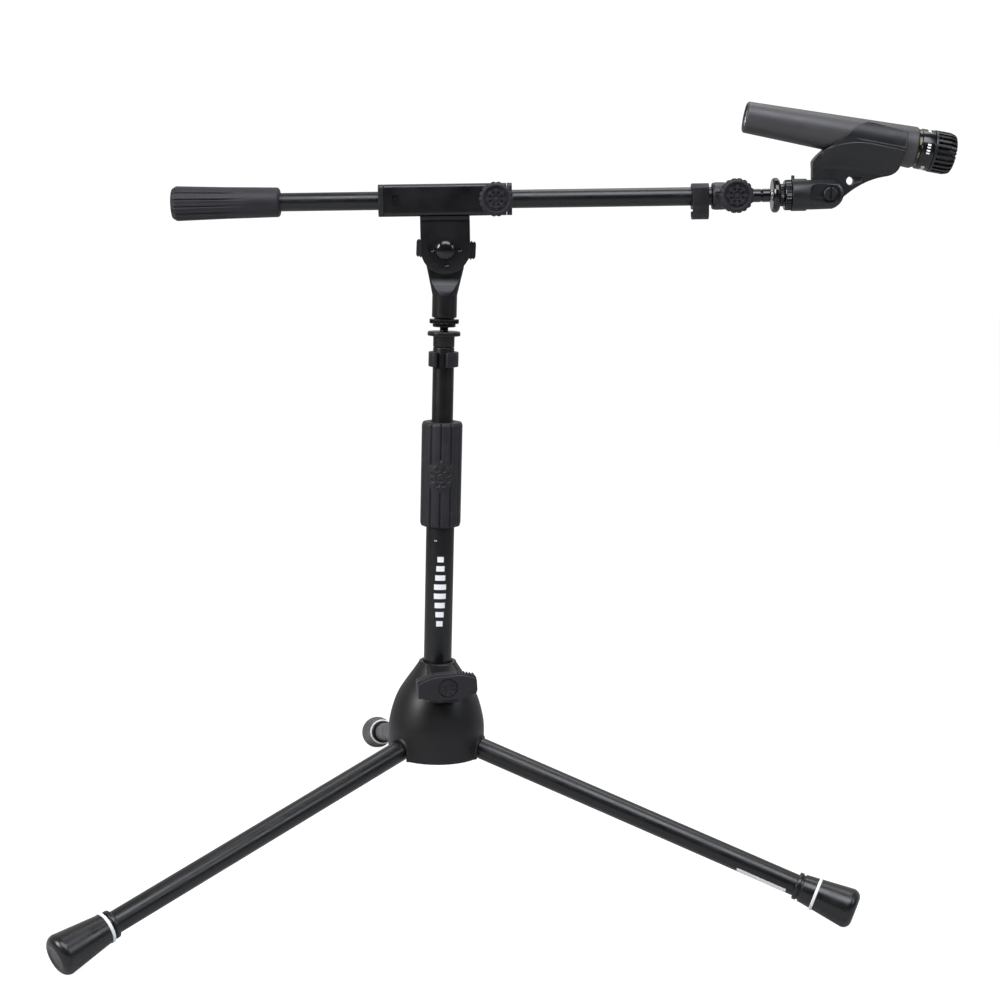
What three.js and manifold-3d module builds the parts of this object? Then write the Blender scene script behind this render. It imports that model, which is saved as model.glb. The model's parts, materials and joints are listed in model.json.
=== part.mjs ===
import * as THREE from 'three';
import { mergeVertices } from 'three/addons/utils/BufferGeometryUtils.js';
import Module from 'manifold-3d';

// Boom microphone stand with a folding tripod base, a two-stage shaft, a tilting boom,
// an extension rod and a microphone in its clip.
// Millimetres, +Z up, +X along the boom towards the microphone, +Y to the rear.
// Heights are first counted from the point where the three leg axes cross the shaft
// axis; the finished assembly is then stood on Z = 0 and centred over the origin.

const wasm = await Module();
wasm.setup();

// ---- driving dimensions ----
const GAP = 0.3;
const FACETS = 16;
const FINE_FACETS = 28;
const SMALL_FACETS = 8;
const WALL = 1.25;

const LEG_AZIMUTHS = [102, 222, 342];
const LEG_SLOPE = degrees(16.95);
const LEG_R = 7.94;
const LEG_PIN_RADIUS_FROM_AXIS = 27;
const LEG_TUBE_START = 36;
const FOOT_START = 293.8;
const FOOT_LENGTH = 45.6;
const FOOT_NECK_R = 10.2;
const FOOT_END_R = 14.5;
const FOOT_ROUND = 6;
const FOOT_BORE_DEPTH = 24.5;
const FOOT_PAD_CUT = 1;
const FOOT_RING_OFFSETS = [6, 6, 15.4];

const HUB_BOTTOM = -17.8;
const HUB_TOP = 54;
const HUB_BORE_R = 12.7;
const HUB_RIM_R = 11.1;
const KNOB_AZIMUTH = degrees(282);
const KNOB_HEIGHT = 44.5;
const KNOB_BOSS_FACE = 34.5;
const KNOB_ROLL = degrees(4.5);

const LOWER_R = 10.6;
const LOWER_BOTTOM = -12;
const LOWER_TOP = 176;
const CLUTCH_BOTTOM = 159.1;
const CLUTCH_TOP = 237.7;
const CLUTCH_R = 15.3;
const UPPER_R = 7.94;
const UPPER_BOTTOM = 50;
const UPPER_TOP = 293.3;
const FLANGE_BOTTOM = 301.8;
const FLANGE_TOP = 305.1;
const STUD_R = 3.3;
const LOCK_BOTTOM = 308.4;
const YOKE_BOTTOM = 315.4;
const YOKE_R = 9.2;
const TANG_HALF = 3.5;
const TANG_DISC_R = 15.5;

const PIVOT_Z = 365.3;
const BOOM_RISE = 36;
const BOOM_TILT = degrees(2.2);
const CHEEK_INNER = 4.9;
const CHEEK_OUTER = 7.4;
const BRACKET_R = 18.1;
const SLEEVE_HALF_HEIGHT = 11.7;
const SLEEVE_HALF_DEPTH = 10;
const SLEEVE_START = -43.9;
const SLEEVE_END = 45.3;
const SLEEVE_CAP = 4.1;
const BOOM_R = 6.7;
const BOOM_BORE_R = 5.5;
const BOOM_START = -149;
const BOOM_END = 195.5;
const WEIGHT_START = -199.9;
const WEIGHT_END = -120.9;
const SLEEVE_KNOB_X = 37.9;
const EXTENSION_KNOB_X = 211.8;
const ROUND_KNOB_R = 12.3;
const COLLAR_R = 10.2;
const COLLAR_END = 222.5;
const ROD_R = 4.85;
const ROD_START = 30;
const ROD_END = 238.3;
const ROD_STUD_R = 4.2;
const CLIP_BASE_START = 253.6;
const CLIP_BASE_R = 11.7;
const CLIP_SCREW_X = 281.2;
const CLIP_SCREW_RISE = 0.4;
const EAR_HALF = 4.3;
const FORK_SLOT_HALF = 4.6;
const FORK_CHEEK_OUTER = 8.6;

const MIC_PITCH = degrees(10.92);
const MIC_REAR = { x: 219.4, z: 92.6 };
const MIC_REAR_R = 11.3;
const MIC_FRONT_R = 15;
const MIC_HANDLE_LENGTH = 126.2;
const MIC_NECK_END = 128.6;
const MIC_RING_END = 138.2;
const MIC_LENGTH = 155.7;
const CAPSULE_R = 10.6;

function degrees(angle) {
  return THREE.MathUtils.degToRad(angle);
}

// ---- finishes ----
function finish(color, roughness, metalness) {
  return new THREE.MeshStandardMaterial({ color, roughness, metalness });
}
const blackSteel = finish(0x141416, 0.35, 0.4);
const glossBlack = finish(0x0c0c0e, 0.15, 0.5);
const texturedBlack = finish(0x1d1d1f, 0.6, 0.1);
const rubber = finish(0x1a1a1c, 0.7, 0);
const softTouch = finish(0x2c2c30, 0.75, 0);
const nylon = finish(0x232326, 0.55, 0);
const bareSteel = finish(0x9a9a9c, 0.35, 1);
const acetal = finish(0xd8d8d4, 0.5, 0);
const whiteRubber = finish(0xf0f0ee, 0.6, 0);
const brass = finish(0xb08d4a, 0.3, 1);
const enamel = finish(0x3a3a3e, 0.5, 0.2);

// ---- geometry helpers ----

// A body of revolution about Z. The outline is a list of [radius, height] points that
// runs up its outer side, and starts and ends on the axis or closes on itself.
function revolve(outline, facets = FACETS) {
  const points = outline.map(([radius, height]) => new THREE.Vector2(radius, height));
  const geometry = new THREE.LatheGeometry(points, facets);
  return geometry.rotateX(Math.PI / 2);
}

function rod(radius, bottom, top, facets = FACETS) {
  return revolve([[0, bottom], [radius, bottom], [radius, top], [0, top]], facets);
}

function ring(outer, inner, bottom, top, facets = FACETS) {
  const outline = [[inner, bottom], [outer, bottom], [outer, top], [inner, top]];
  return revolve([...outline, outline[0]], facets);
}

function alongX(geometry) {
  return geometry.rotateY(Math.PI / 2);
}

function alongFront(geometry) {
  return geometry.rotateX(Math.PI / 2);
}

// An outline drawn in the XZ plane and given a thickness from one Y to another.
function slab(shape, yFrom, yTo, curveSegments = 6) {
  const depth = yTo - yFrom;
  const geometry = new THREE.ExtrudeGeometry(shape, { depth, bevelEnabled: false, curveSegments });
  return geometry.rotateX(Math.PI / 2).translate(0, yTo, 0);
}

// An outline drawn in the YZ plane and run along X.
function beam(shape, xFrom, xTo, curveSegments = 6) {
  const depth = xTo - xFrom;
  const geometry = new THREE.ExtrudeGeometry(shape, { depth, bevelEnabled: false, curveSegments });
  return geometry.rotateX(Math.PI / 2).rotateZ(Math.PI / 2).translate(xFrom, 0, 0);
}

function polygon(points) {
  return new THREE.Shape(points.map(([x, z]) => new THREE.Vector2(x, z)));
}

function roundedRectangle(halfWidth, halfHeight, corner) {
  const shape = new THREE.Shape();
  const x = halfWidth - corner;
  const y = halfHeight - corner;
  shape.absarc(x, y, corner, 0, Math.PI / 2);
  shape.absarc(-x, y, corner, Math.PI / 2, Math.PI);
  shape.absarc(-x, -y, corner, Math.PI, 1.5 * Math.PI);
  shape.absarc(x, -y, corner, 1.5 * Math.PI, 2 * Math.PI);
  return shape;
}

function toSolid(geometry) {
  const bare = geometry.clone();
  bare.deleteAttribute('normal');
  bare.deleteAttribute('uv');
  const merged = mergeVertices(bare, 1e-4);
  const corners = merged.index.array;
  const kept = [];
  for (let i = 0; i < corners.length; i += 3) {
    const [a, b, c] = [corners[i], corners[i + 1], corners[i + 2]];
    if (a !== b && b !== c && c !== a) kept.push(a, b, c);
  }
  const mesh = new wasm.Mesh({
    numProp: 3,
    vertProperties: new Float32Array(merged.attributes.position.array),
    triVerts: new Uint32Array(kept),
  });
  return new wasm.Manifold(mesh);
}

function toGeometry(solid) {
  const mesh = solid.getMesh();
  const geometry = new THREE.BufferGeometry();
  geometry.setAttribute('position', new THREE.BufferAttribute(mesh.vertProperties, 3));
  geometry.setIndex(new THREE.BufferAttribute(mesh.triVerts, 1));
  geometry.computeVertexNormals();
  return geometry;
}

// Joins the added pieces to a body, then takes the cutters out of it.
function carve(body, cutters, added = []) {
  let solid = toSolid(body);
  for (const piece of added) solid = solid.add(toSolid(piece));
  for (const cutter of cutters) solid = solid.subtract(toSolid(cutter));
  return toGeometry(solid);
}

function common(first, second) {
  return toGeometry(toSolid(first).intersect(toSolid(second)));
}

function place(parent, name, geometry, material) {
  const mesh = new THREE.Mesh(geometry, material);
  mesh.name = name;
  parent.add(mesh);
  return mesh;
}

function group(parent, x = 0, y = 0, z = 0) {
  const made = new THREE.Group();
  made.position.set(x, y, z);
  parent.add(made);
  return made;
}

// ---- base ----
const assembly = new THREE.Group();
const pinHeight = -LEG_PIN_RADIUS_FROM_AXIS * Math.tan(LEG_SLOPE);
const pinAlongLeg = LEG_PIN_RADIUS_FROM_AXIS / Math.cos(LEG_SLOPE);
const slotHalf = LEG_R + 0.5;
const lugOuter = slotHalf + 5.2;

// The lowest point of a foot lies on the round of its end, straight below its centre.
const footRoundAlong = FOOT_START + FOOT_LENGTH - FOOT_ROUND;
const footRoundOut = FOOT_END_R - FOOT_ROUND;
const floorHeight = -footRoundAlong * Math.sin(LEG_SLOPE)
  - footRoundOut * Math.cos(LEG_SLOPE) - FOOT_ROUND + FOOT_PAD_CUT;

function hubBody() {
  const dome = new THREE.SplineCurve([
    [36.4, HUB_BOTTOM], [36.8, -6], [35.8, 10], [29.9, 29], [17.6, 48], [13.6, HUB_TOP],
  ].map(([radius, height]) => new THREE.Vector2(radius, height)));
  const side = dome.getPoints(9).map((point) => [point.x, point.y]);
  return revolve([[0, HUB_BOTTOM], ...side, [0, HUB_TOP]], FINE_FACETS);
}

// The space that one leg needs: an arch round the leg at rest, open below for folding.
function legSlot(azimuth) {
  const start = 17;
  const end = 50;
  const fall = Math.tan(LEG_SLOPE);
  const below = polygon([[start, -30], [end, -30], [end, -end * fall], [start, -start * fall]]);
  const arch = alongX(rod(slotHalf, start / Math.cos(LEG_SLOPE), end)).rotateY(LEG_SLOPE);
  const pinHole = alongFront(rod(2.5, -12.3, 12.3, SMALL_FACETS));
  pinHole.translate(LEG_PIN_RADIUS_FROM_AXIS, 0, pinHeight);
  return [slab(below, -slotHalf, slotHalf), arch, pinHole].map((cut) => cut.rotateZ(azimuth));
}

// A cored pocket between two leg slots, seen from below as a wedge with a round rim.
function hubPocket(azimuth, rimRadius, bottom, top) {
  const apex = lugOuter / Math.sin(Math.PI / 3);
  const shape = new THREE.Shape();
  const reach = Math.sqrt(rimRadius ** 2 - lugOuter ** 2);
  const halfAngle = Math.PI / 3 - Math.atan2(lugOuter, reach);
  shape.moveTo(apex + 0.8, 0);
  shape.lineTo(rimRadius * Math.cos(halfAngle), -rimRadius * Math.sin(halfAngle));
  shape.absarc(0, 0, rimRadius, -halfAngle, halfAngle);
  const geometry = new THREE.ExtrudeGeometry(shape, {
    depth: top - bottom,
    bevelEnabled: false,
    curveSegments: 3,
  });
  return geometry.translate(0, 0, bottom).rotateZ(azimuth);
}

function makeBase() {
  const boss = polygon([
    [8, 33], [KNOB_BOSS_FACE, 35], [KNOB_BOSS_FACE, 51.5], [15, 53.6], [8, 53.6],
  ]);
  const knobBoss = slab(boss, -9.6, 9.6).rotateZ(KNOB_AZIMUTH);
  const screwHole = alongX(rod(3.7, 10, 40, SMALL_FACETS)).translate(0, 0, KNOB_HEIGHT);
  const cutters = [
    rod(HUB_RIM_R, -20, 60, FINE_FACETS),
    rod(HUB_BORE_R, -20, 50, FINE_FACETS),
    screwHole.rotateZ(KNOB_AZIMUTH),
  ];
  for (const azimuth of LEG_AZIMUTHS.map(degrees)) {
    const between = azimuth + Math.PI / 3;
    cutters.push(...legSlot(azimuth));
    cutters.push(hubPocket(between, 32.4, -20, 8));
    cutters.push(hubPocket(between, 26.5, 6, 27));
  }
  place(assembly, 'base_hub', carve(hubBody(), cutters, [knobBoss]), texturedBlack);
  place(assembly, 'hub_bush', ring(HUB_BORE_R - GAP, LOWER_R + GAP, 8, 49.7), acetal);

  LEG_AZIMUTHS.forEach((azimuth, index) => {
    const station = group(assembly);
    station.rotation.z = degrees(azimuth);
    const pin = alongFront(rod(2.2, -12, 12, SMALL_FACETS));
    pin.translate(LEG_PIN_RADIUS_FROM_AXIS, 0, pinHeight);
    place(station, `leg_pin_${index + 1}`, pin, bareSteel);
  });
}

function wingOutline(halfLength, halfHeight, endHalf) {
  const shape = new THREE.Shape();
  shape.moveTo(halfLength, -endHalf);
  shape.lineTo(halfLength, endHalf);
  shape.quadraticCurveTo(0, 2 * halfHeight - endHalf, -halfLength, endHalf);
  shape.lineTo(-halfLength, -endHalf);
  shape.quadraticCurveTo(0, endHalf - 2 * halfHeight, halfLength, -endHalf);
  return shape;
}

function makeBaseKnob() {
  const station = group(assembly, 0, 0, KNOB_HEIGHT);
  station.rotation.z = KNOB_AZIMUTH + Math.PI / 2;
  const face = KNOB_BOSS_FACE + 12;
  const wing = slab(wingOutline(22.2, 10.6, 6.6), -face, -KNOB_BOSS_FACE - GAP);
  const hole = alongFront(rod(3.6, 30, 42.3, SMALL_FACETS));
  const knob = place(station, 'base_knob', carve(wing, [hole]), softTouch);
  knob.rotation.y = -KNOB_ROLL;
  place(station, 'base_knob_screw', alongFront(rod(3.3, 12.9, 42, SMALL_FACETS)), bareSteel);
}

// ---- legs ----
function footRadiusAt(offset) {
  const share = (offset - 4.6) / (FOOT_LENGTH - FOOT_ROUND - 4.6);
  return FOOT_NECK_R + (FOOT_END_R - FOOT_NECK_R) * share;
}

function makeFoot() {
  const bore = LEG_R + GAP;
  const round = [];
  const steps = 3;
  for (let step = 0; step <= steps; step += 1) {
    const turn = (step / steps) * (Math.PI / 2);
    const out = footRoundOut + FOOT_ROUND * Math.cos(turn);
    round.push([out, FOOT_LENGTH - FOOT_ROUND + FOOT_ROUND * Math.sin(turn)]);
  }
  const outline = [
    [0, FOOT_BORE_DEPTH], [bore, FOOT_BORE_DEPTH], [bore, 0], [FOOT_NECK_R, 0],
    [FOOT_NECK_R, 3], [9.4, 3.3], [9.4, 4.2], [FOOT_NECK_R, 4.6],
    ...round, [0, FOOT_LENGTH],
  ];
  const foot = alongX(revolve(outline)).translate(FOOT_START, 0, 0);
  const ground = new THREE.BoxGeometry(60, 60, 20);
  const reach = footRoundAlong * Math.cos(LEG_SLOPE);
  ground.translate(reach, 0, floorHeight - 10).rotateY(-LEG_SLOPE);
  return carve(foot, [ground]);
}

// The plug in the top of a leg: a ball-shaped eye that turns in its slot, and a neck
// that fills the tube.
function makeHeel() {
  const neck = alongX(rod(LEG_R - WALL - GAP, pinAlongLeg, 60, FACETS));
  const eye = alongFront(revolve([
    [0, -7.2], [2.6, -7.2], [5.2, -5.4], [7.2, -2.6], [7.2, 2.6], [5.2, 5.4], [2.6, 7.2],
    [0, 7.2],
  ]));
  eye.translate(pinAlongLeg, 0, 0);
  const pinHole = alongFront(rod(2.5, -20, 20, SMALL_FACETS)).translate(pinAlongLeg, 0, 0);
  return carve(eye, [pinHole], [neck]);
}

function makeLegs() {
  LEG_AZIMUTHS.forEach((azimuth, index) => {
    const number = index + 1;
    const leg = group(assembly);
    leg.rotation.set(0, LEG_SLOPE, degrees(azimuth), 'ZYX');
    const tubeEnd = FOOT_START + FOOT_BORE_DEPTH - GAP;
    const tube = alongX(ring(LEG_R, LEG_R - WALL, LEG_TUBE_START, tubeEnd));
    place(leg, `leg_tube_${number}`, tube, blackSteel);
    place(leg, `leg_heel_${number}`, makeHeel(), nylon);
    place(leg, `leg_foot_${number}`, makeFoot(), rubber);
    const offset = FOOT_RING_OFFSETS[index];
    const inner = footRadiusAt(offset + 1.1) + GAP;
    const start = FOOT_START + offset - 1.1;
    const trim = alongX(ring(inner + 0.9, inner, start, start + 2.2));
    place(leg, `leg_ring_${number}`, trim, whiteRubber);
  });
}

// ---- shaft ----
function makeLowerShaft() {
  const inner = LOWER_R - 1.2;
  place(assembly, 'lower_tube', ring(LOWER_R, inner, LOWER_BOTTOM, LOWER_TOP), blackSteel);
  const flangeTop = LOWER_BOTTOM - GAP;
  const plug = [
    [0, flangeTop - 3.2], [11.7, flangeTop - 3.2], [11.7, flangeTop],
    [inner - GAP, flangeTop], [inner - GAP, LOWER_BOTTOM + 8], [0, LOWER_BOTTOM + 8],
  ];
  place(assembly, 'shaft_end_plug', revolve(plug), nylon);
  const seat = [
    [LOWER_R + GAP, 163], [12.6, 163], [12.6, 192], [LOWER_R - 0.2, 192],
    [LOWER_R - 0.2, LOWER_TOP + GAP], [LOWER_R + GAP, LOWER_TOP + GAP],
  ];
  place(assembly, 'clutch_seat', revolve([...seat, seat[0]]), acetal);
  const collet = [
    [UPPER_R + GAP, 180], [LOWER_R - 0.6, 180], [LOWER_R - 0.6, 192.4], [12.3, 196],
    [12.3, 206], [10.3, 222], [UPPER_R + GAP, 222],
  ];
  place(assembly, 'clutch_collet', revolve([...collet, collet[0]]), acetal);
}

function makeClutchGrip() {
  const bore = UPPER_R + 0.6;
  const outline = [
    [12.9, CLUTCH_BOTTOM], [14.3, CLUTCH_BOTTOM], [CLUTCH_R, CLUTCH_BOTTOM + 2],
    [CLUTCH_R, CLUTCH_TOP - 2], [14.3, CLUTCH_TOP], [bore, CLUTCH_TOP], [bore, 224],
    [10.8, 222.4], [12.9, 206.4],
  ];
  place(assembly, 'clutch_grip', revolve([...outline, outline[0]]), softTouch);
}

function makeUpperShaft() {
  const inner = UPPER_R - WALL;
  place(assembly, 'upper_tube', ring(UPPER_R, inner, UPPER_BOTTOM, UPPER_TOP), blackSteel);
  place(assembly, 'upper_guide_bush', ring(9.1, UPPER_R + 0.25, UPPER_BOTTOM, 62), acetal);
  const bore = STUD_R + GAP;
  const cap = [
    [bore, 279], [inner - GAP, 279], [inner - GAP, UPPER_TOP + GAP],
    [UPPER_R, UPPER_TOP + GAP], [UPPER_R, FLANGE_BOTTOM], [12.2, FLANGE_BOTTOM],
    [12.2, FLANGE_TOP], [bore, FLANGE_TOP],
  ];
  place(assembly, 'stem_cap', revolve([...cap, cap[0]]), blackSteel);
  place(assembly, 'stem_stud', rod(STUD_R, 282, 325, SMALL_FACETS), bareSteel);

  const open = polygon([[0, 0], [-9.5, -20], [9.5, -20]]);
  const mouth = new THREE.ExtrudeGeometry(open, { depth: 30, bevelEnabled: false });
  mouth.translate(0, 0, 270).rotateZ(degrees(-8));
  const clip = carve(ring(11.4, UPPER_R + GAP, 279, 290), [mouth]);
  place(assembly, 'shaft_cable_clip', clip, nylon);
}

function makeLockRing() {
  const bore = STUD_R + GAP;
  const outline = [
    [bore, LOCK_BOTTOM], [8.5, LOCK_BOTTOM], [8.5, 311], [10.9, 311], [10.9, 314.2],
    [7.5, 314.2], [7.5, YOKE_BOTTOM - GAP], [bore, YOKE_BOTTOM - GAP],
  ];
  place(assembly, 'lock_ring', revolve([...outline, outline[0]]), glossBlack);
}

// The yoke: a round socket whose front and back are scooped down to a flat tang.
function makeYoke() {
  const scoopBottom = 332.9;
  const scoopTop = 341.1;
  const socket = rod(YOKE_R, YOKE_BOTTOM, scoopTop + 3);
  const outline = new THREE.Shape();
  outline.moveTo(-YOKE_R, 330);
  outline.lineTo(YOKE_R, 330);
  outline.lineTo(YOKE_R + 0.2, 334);
  outline.quadraticCurveTo(11.5, 341.5, 13.7, 352);
  outline.lineTo(13.7, PIVOT_Z - 7.2);
  outline.absarc(0, PIVOT_Z, TANG_DISC_R, degrees(-27), degrees(207));
  outline.lineTo(-13.7, 352);
  outline.quadraticCurveTo(-11.5, 341.5, -YOKE_R - 0.2, 334);
  const tang = slab(outline, -TANG_HALF, TANG_HALF, 10);
  const wedge = [
    [TANG_HALF, scoopTop], [YOKE_R + 0.1, scoopBottom], [20, scoopBottom], [20, 390],
    [TANG_HALF, 390],
  ];
  const behind = beam(polygon(wedge), -30, 30);
  const front = behind.clone().rotateZ(Math.PI);
  const studHole = rod(STUD_R + GAP, 300, 326, SMALL_FACETS);
  const pivotHole = alongFront(rod(3.7, -20, 20, SMALL_FACETS)).translate(0, 0, PIVOT_Z);
  const yoke = carve(socket, [behind, front, studHole, pivotHole], [tang]);
  place(assembly, 'tilt_yoke', yoke, blackSteel);
}

// ---- boom head: its group turns about the tilt pivot ----
const boomHead = group(assembly, 0, 0, PIVOT_Z);
boomHead.rotation.y = -BOOM_TILT;
const boomLine = group(boomHead, 0, 0, BOOM_RISE);

function makeBracket() {
  const top = BOOM_RISE - SLEEVE_HALF_HEIGHT - GAP;
  const side = new THREE.Shape();
  side.moveTo(BRACKET_R, 0);
  side.lineTo(BRACKET_R, top);
  side.lineTo(-BRACKET_R, top);
  side.lineTo(-BRACKET_R, 0);
  side.absarc(0, 0, BRACKET_R, Math.PI, 2 * Math.PI);
  const block = slab(side, -CHEEK_OUTER, CHEEK_OUTER, 12);
  const room = new THREE.BoxGeometry(60, 2 * CHEEK_INNER, 60).translate(0, 0, top - 3 - 30);
  const hole = alongFront(rod(3.7, -20, 20, SMALL_FACETS));
  place(boomHead, 'tilt_bracket', carve(block, [room, hole]), blackSteel);

  const inner = TANG_HALF + GAP;
  const outer = CHEEK_INNER - GAP;
  const back = alongFront(ring(14, 3.8, -outer, -inner));
  place(boomHead, 'friction_disc_front', alongFront(ring(14, 3.8, inner, outer)), acetal);
  place(boomHead, 'friction_disc_back', back, acetal);

  const head = [
    [0, -16.5], [3.2, -16.5], [3.2, CHEEK_OUTER + GAP], [7.35, CHEEK_OUTER + GAP],
    [6.6, 9.6], [4.6, 10.9], [0, 11.5],
  ];
  place(boomHead, 'tilt_bolt', alongFront(revolve(head)), glossBlack);
}

function makeTiltKnob() {
  const wing = slab(wingOutline(22, 8.6, 6.4), CHEEK_OUTER + GAP, 19.5);
  const hole = alongFront(rod(3.5, -16.8, 0, SMALL_FACETS));
  const knob = place(boomHead, 'tilt_knob', carve(wing, [hole]), softTouch);
  knob.rotation.y = degrees(3.5);
}

function sleevePiece(from, to, boreR) {
  const section = roundedRectangle(SLEEVE_HALF_DEPTH, SLEEVE_HALF_HEIGHT, 3);
  return carve(beam(section, from, to, 2), [alongX(rod(boreR, from - 1, to + 1))]);
}

function makeSleeve() {
  const boreR = BOOM_R + GAP;
  const screwHole = alongFront(rod(3.3, 3, 20, SMALL_FACETS)).translate(SLEEVE_KNOB_X, 0, 0);
  const sleeve = carve(sleevePiece(SLEEVE_START, SLEEVE_END, boreR), [screwHole]);
  place(boomLine, 'boom_sleeve', sleeve, blackSteel);
  const leftEnd = SLEEVE_START - GAP;
  const rightStart = SLEEVE_END + GAP;
  const left = sleevePiece(leftEnd - SLEEVE_CAP, leftEnd, boreR);
  const right = sleevePiece(rightStart, rightStart + SLEEVE_CAP - GAP, boreR);
  place(boomLine, 'sleeve_cap_left', left, nylon);
  place(boomLine, 'sleeve_cap_right', right, nylon);
}

// A round clamping knob on the front of the boom, with its screw.
function makeRoundKnob(name, x, back, screwTip) {
  const face = back + 11.5;
  const outline = [
    [0, back], [11.2, back], [ROUND_KNOB_R, back + 1.5], [ROUND_KNOB_R, face - 1.5],
    [11.2, face], [0, face],
  ];
  const hole = rod(3.3, back - 5, back + 7.3, SMALL_FACETS);
  const knob = alongFront(carve(revolve(outline), [hole])).translate(x, 0, 0);
  place(boomLine, name, knob, softTouch);
  const screw = alongFront(rod(3, screwTip, back + 7, SMALL_FACETS)).translate(x, 0, 0);
  place(boomLine, `${name}_screw`, screw, bareSteel);
}

function makeBoomTube() {
  const tube = alongX(ring(BOOM_R, BOOM_BORE_R, BOOM_START, BOOM_END));
  place(boomLine, 'boom_tube', tube, blackSteel);

  const core = [
    [0, WEIGHT_START + 3], [9, WEIGHT_START + 3], [9, BOOM_START - GAP],
    [BOOM_BORE_R - GAP, BOOM_START - GAP], [BOOM_BORE_R - GAP, -132], [0, -132],
  ];
  place(boomLine, 'counterweight_core', alongX(revolve(core)), bareSteel);
  const bore = BOOM_R + GAP;
  const cavity = WEIGHT_START + 2.7;
  const grip = [
    [0, WEIGHT_START], [10.7, WEIGHT_START], [12.7, WEIGHT_START + 2.5],
    [10.6, WEIGHT_END - 2], [9.4, WEIGHT_END], [bore, WEIGHT_END], [bore, BOOM_START],
    [9.3, BOOM_START], [9.3, cavity], [0, cavity],
  ];
  place(boomLine, 'counterweight_grip', alongX(revolve(grip)), softTouch);

  const collarBore = ROD_R + GAP;
  const tubeSeat = BOOM_END + GAP;
  const collar = [
    [collarBore, tubeSeat], [9.2, tubeSeat], [COLLAR_R, tubeSeat + 1.2],
    [COLLAR_R, COLLAR_END - 2], [8.6, COLLAR_END], [collarBore, COLLAR_END],
  ];
  const collarBody = alongX(revolve([...collar, collar[0]]));
  const screwHole = alongFront(rod(3.3, 2, 20, SMALL_FACETS));
  screwHole.translate(EXTENSION_KNOB_X, 0, 0);
  place(boomLine, 'boom_collar', carve(collarBody, [screwHole]), nylon);
}

// The cable clip: a squarish band round the boom, with a hook below that opens at the back.
function makeBoomCableClip() {
  const band = beam(roundedRectangle(9.4, 9.4, 3), 181, 193, 2);
  const bore = alongX(rod(BOOM_R + GAP, 180, 194));
  const hook = new THREE.Shape();
  const hookZ = -12.1;
  hook.moveTo(-5, -8.9);
  hook.lineTo(-9.3, -7);
  hook.absarc(-4.7, hookZ, 4.7, Math.PI, 1.5 * Math.PI);
  hook.absarc(1.5, hookZ, 4.7, 1.5 * Math.PI, 2.1 * Math.PI);
  hook.absarc(1.5, hookZ, 2.9, 2.1 * Math.PI, 1.5 * Math.PI, true);
  hook.absarc(-4.5, hookZ, 2.9, 1.5 * Math.PI, Math.PI, true);
  hook.lineTo(-7.4, -8.9);
  const clip = carve(band, [bore], [beam(hook, 181, 193, 4)]);
  place(boomLine, 'boom_cable_clip', clip, nylon);
}

function makeExtensionRod() {
  const inner = ROD_R - 1;
  const bar = [
    [0, ROD_START], [ROD_R, ROD_START], [ROD_R, ROD_END], [inner, ROD_END],
    [inner, ROD_END - 20], [0, ROD_END - 20],
  ];
  place(boomLine, 'extension_rod', alongX(revolve(bar)), glossBlack);
  const stud = [
    [0, ROD_END - 19.7], [inner - GAP, ROD_END - 19.7], [inner - GAP, ROD_END + GAP],
    [ROD_STUD_R, ROD_END + GAP], [ROD_STUD_R, 262], [0, 262],
  ];
  place(boomLine, 'rod_stud', alongX(revolve(stud)), bareSteel);
}

function makeThumbRing() {
  const bore = ROD_STUD_R + GAP;
  const outline = [
    [bore, 239.7], [12, 239.7], [12.6, 240.7], [12.6, 244.2], [8.2, 245.4], [8.2, 248.2],
    [bore, 248.2],
  ];
  place(boomLine, 'thumb_ring', alongX(revolve([...outline, outline[0]])), glossBlack);
}

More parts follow.
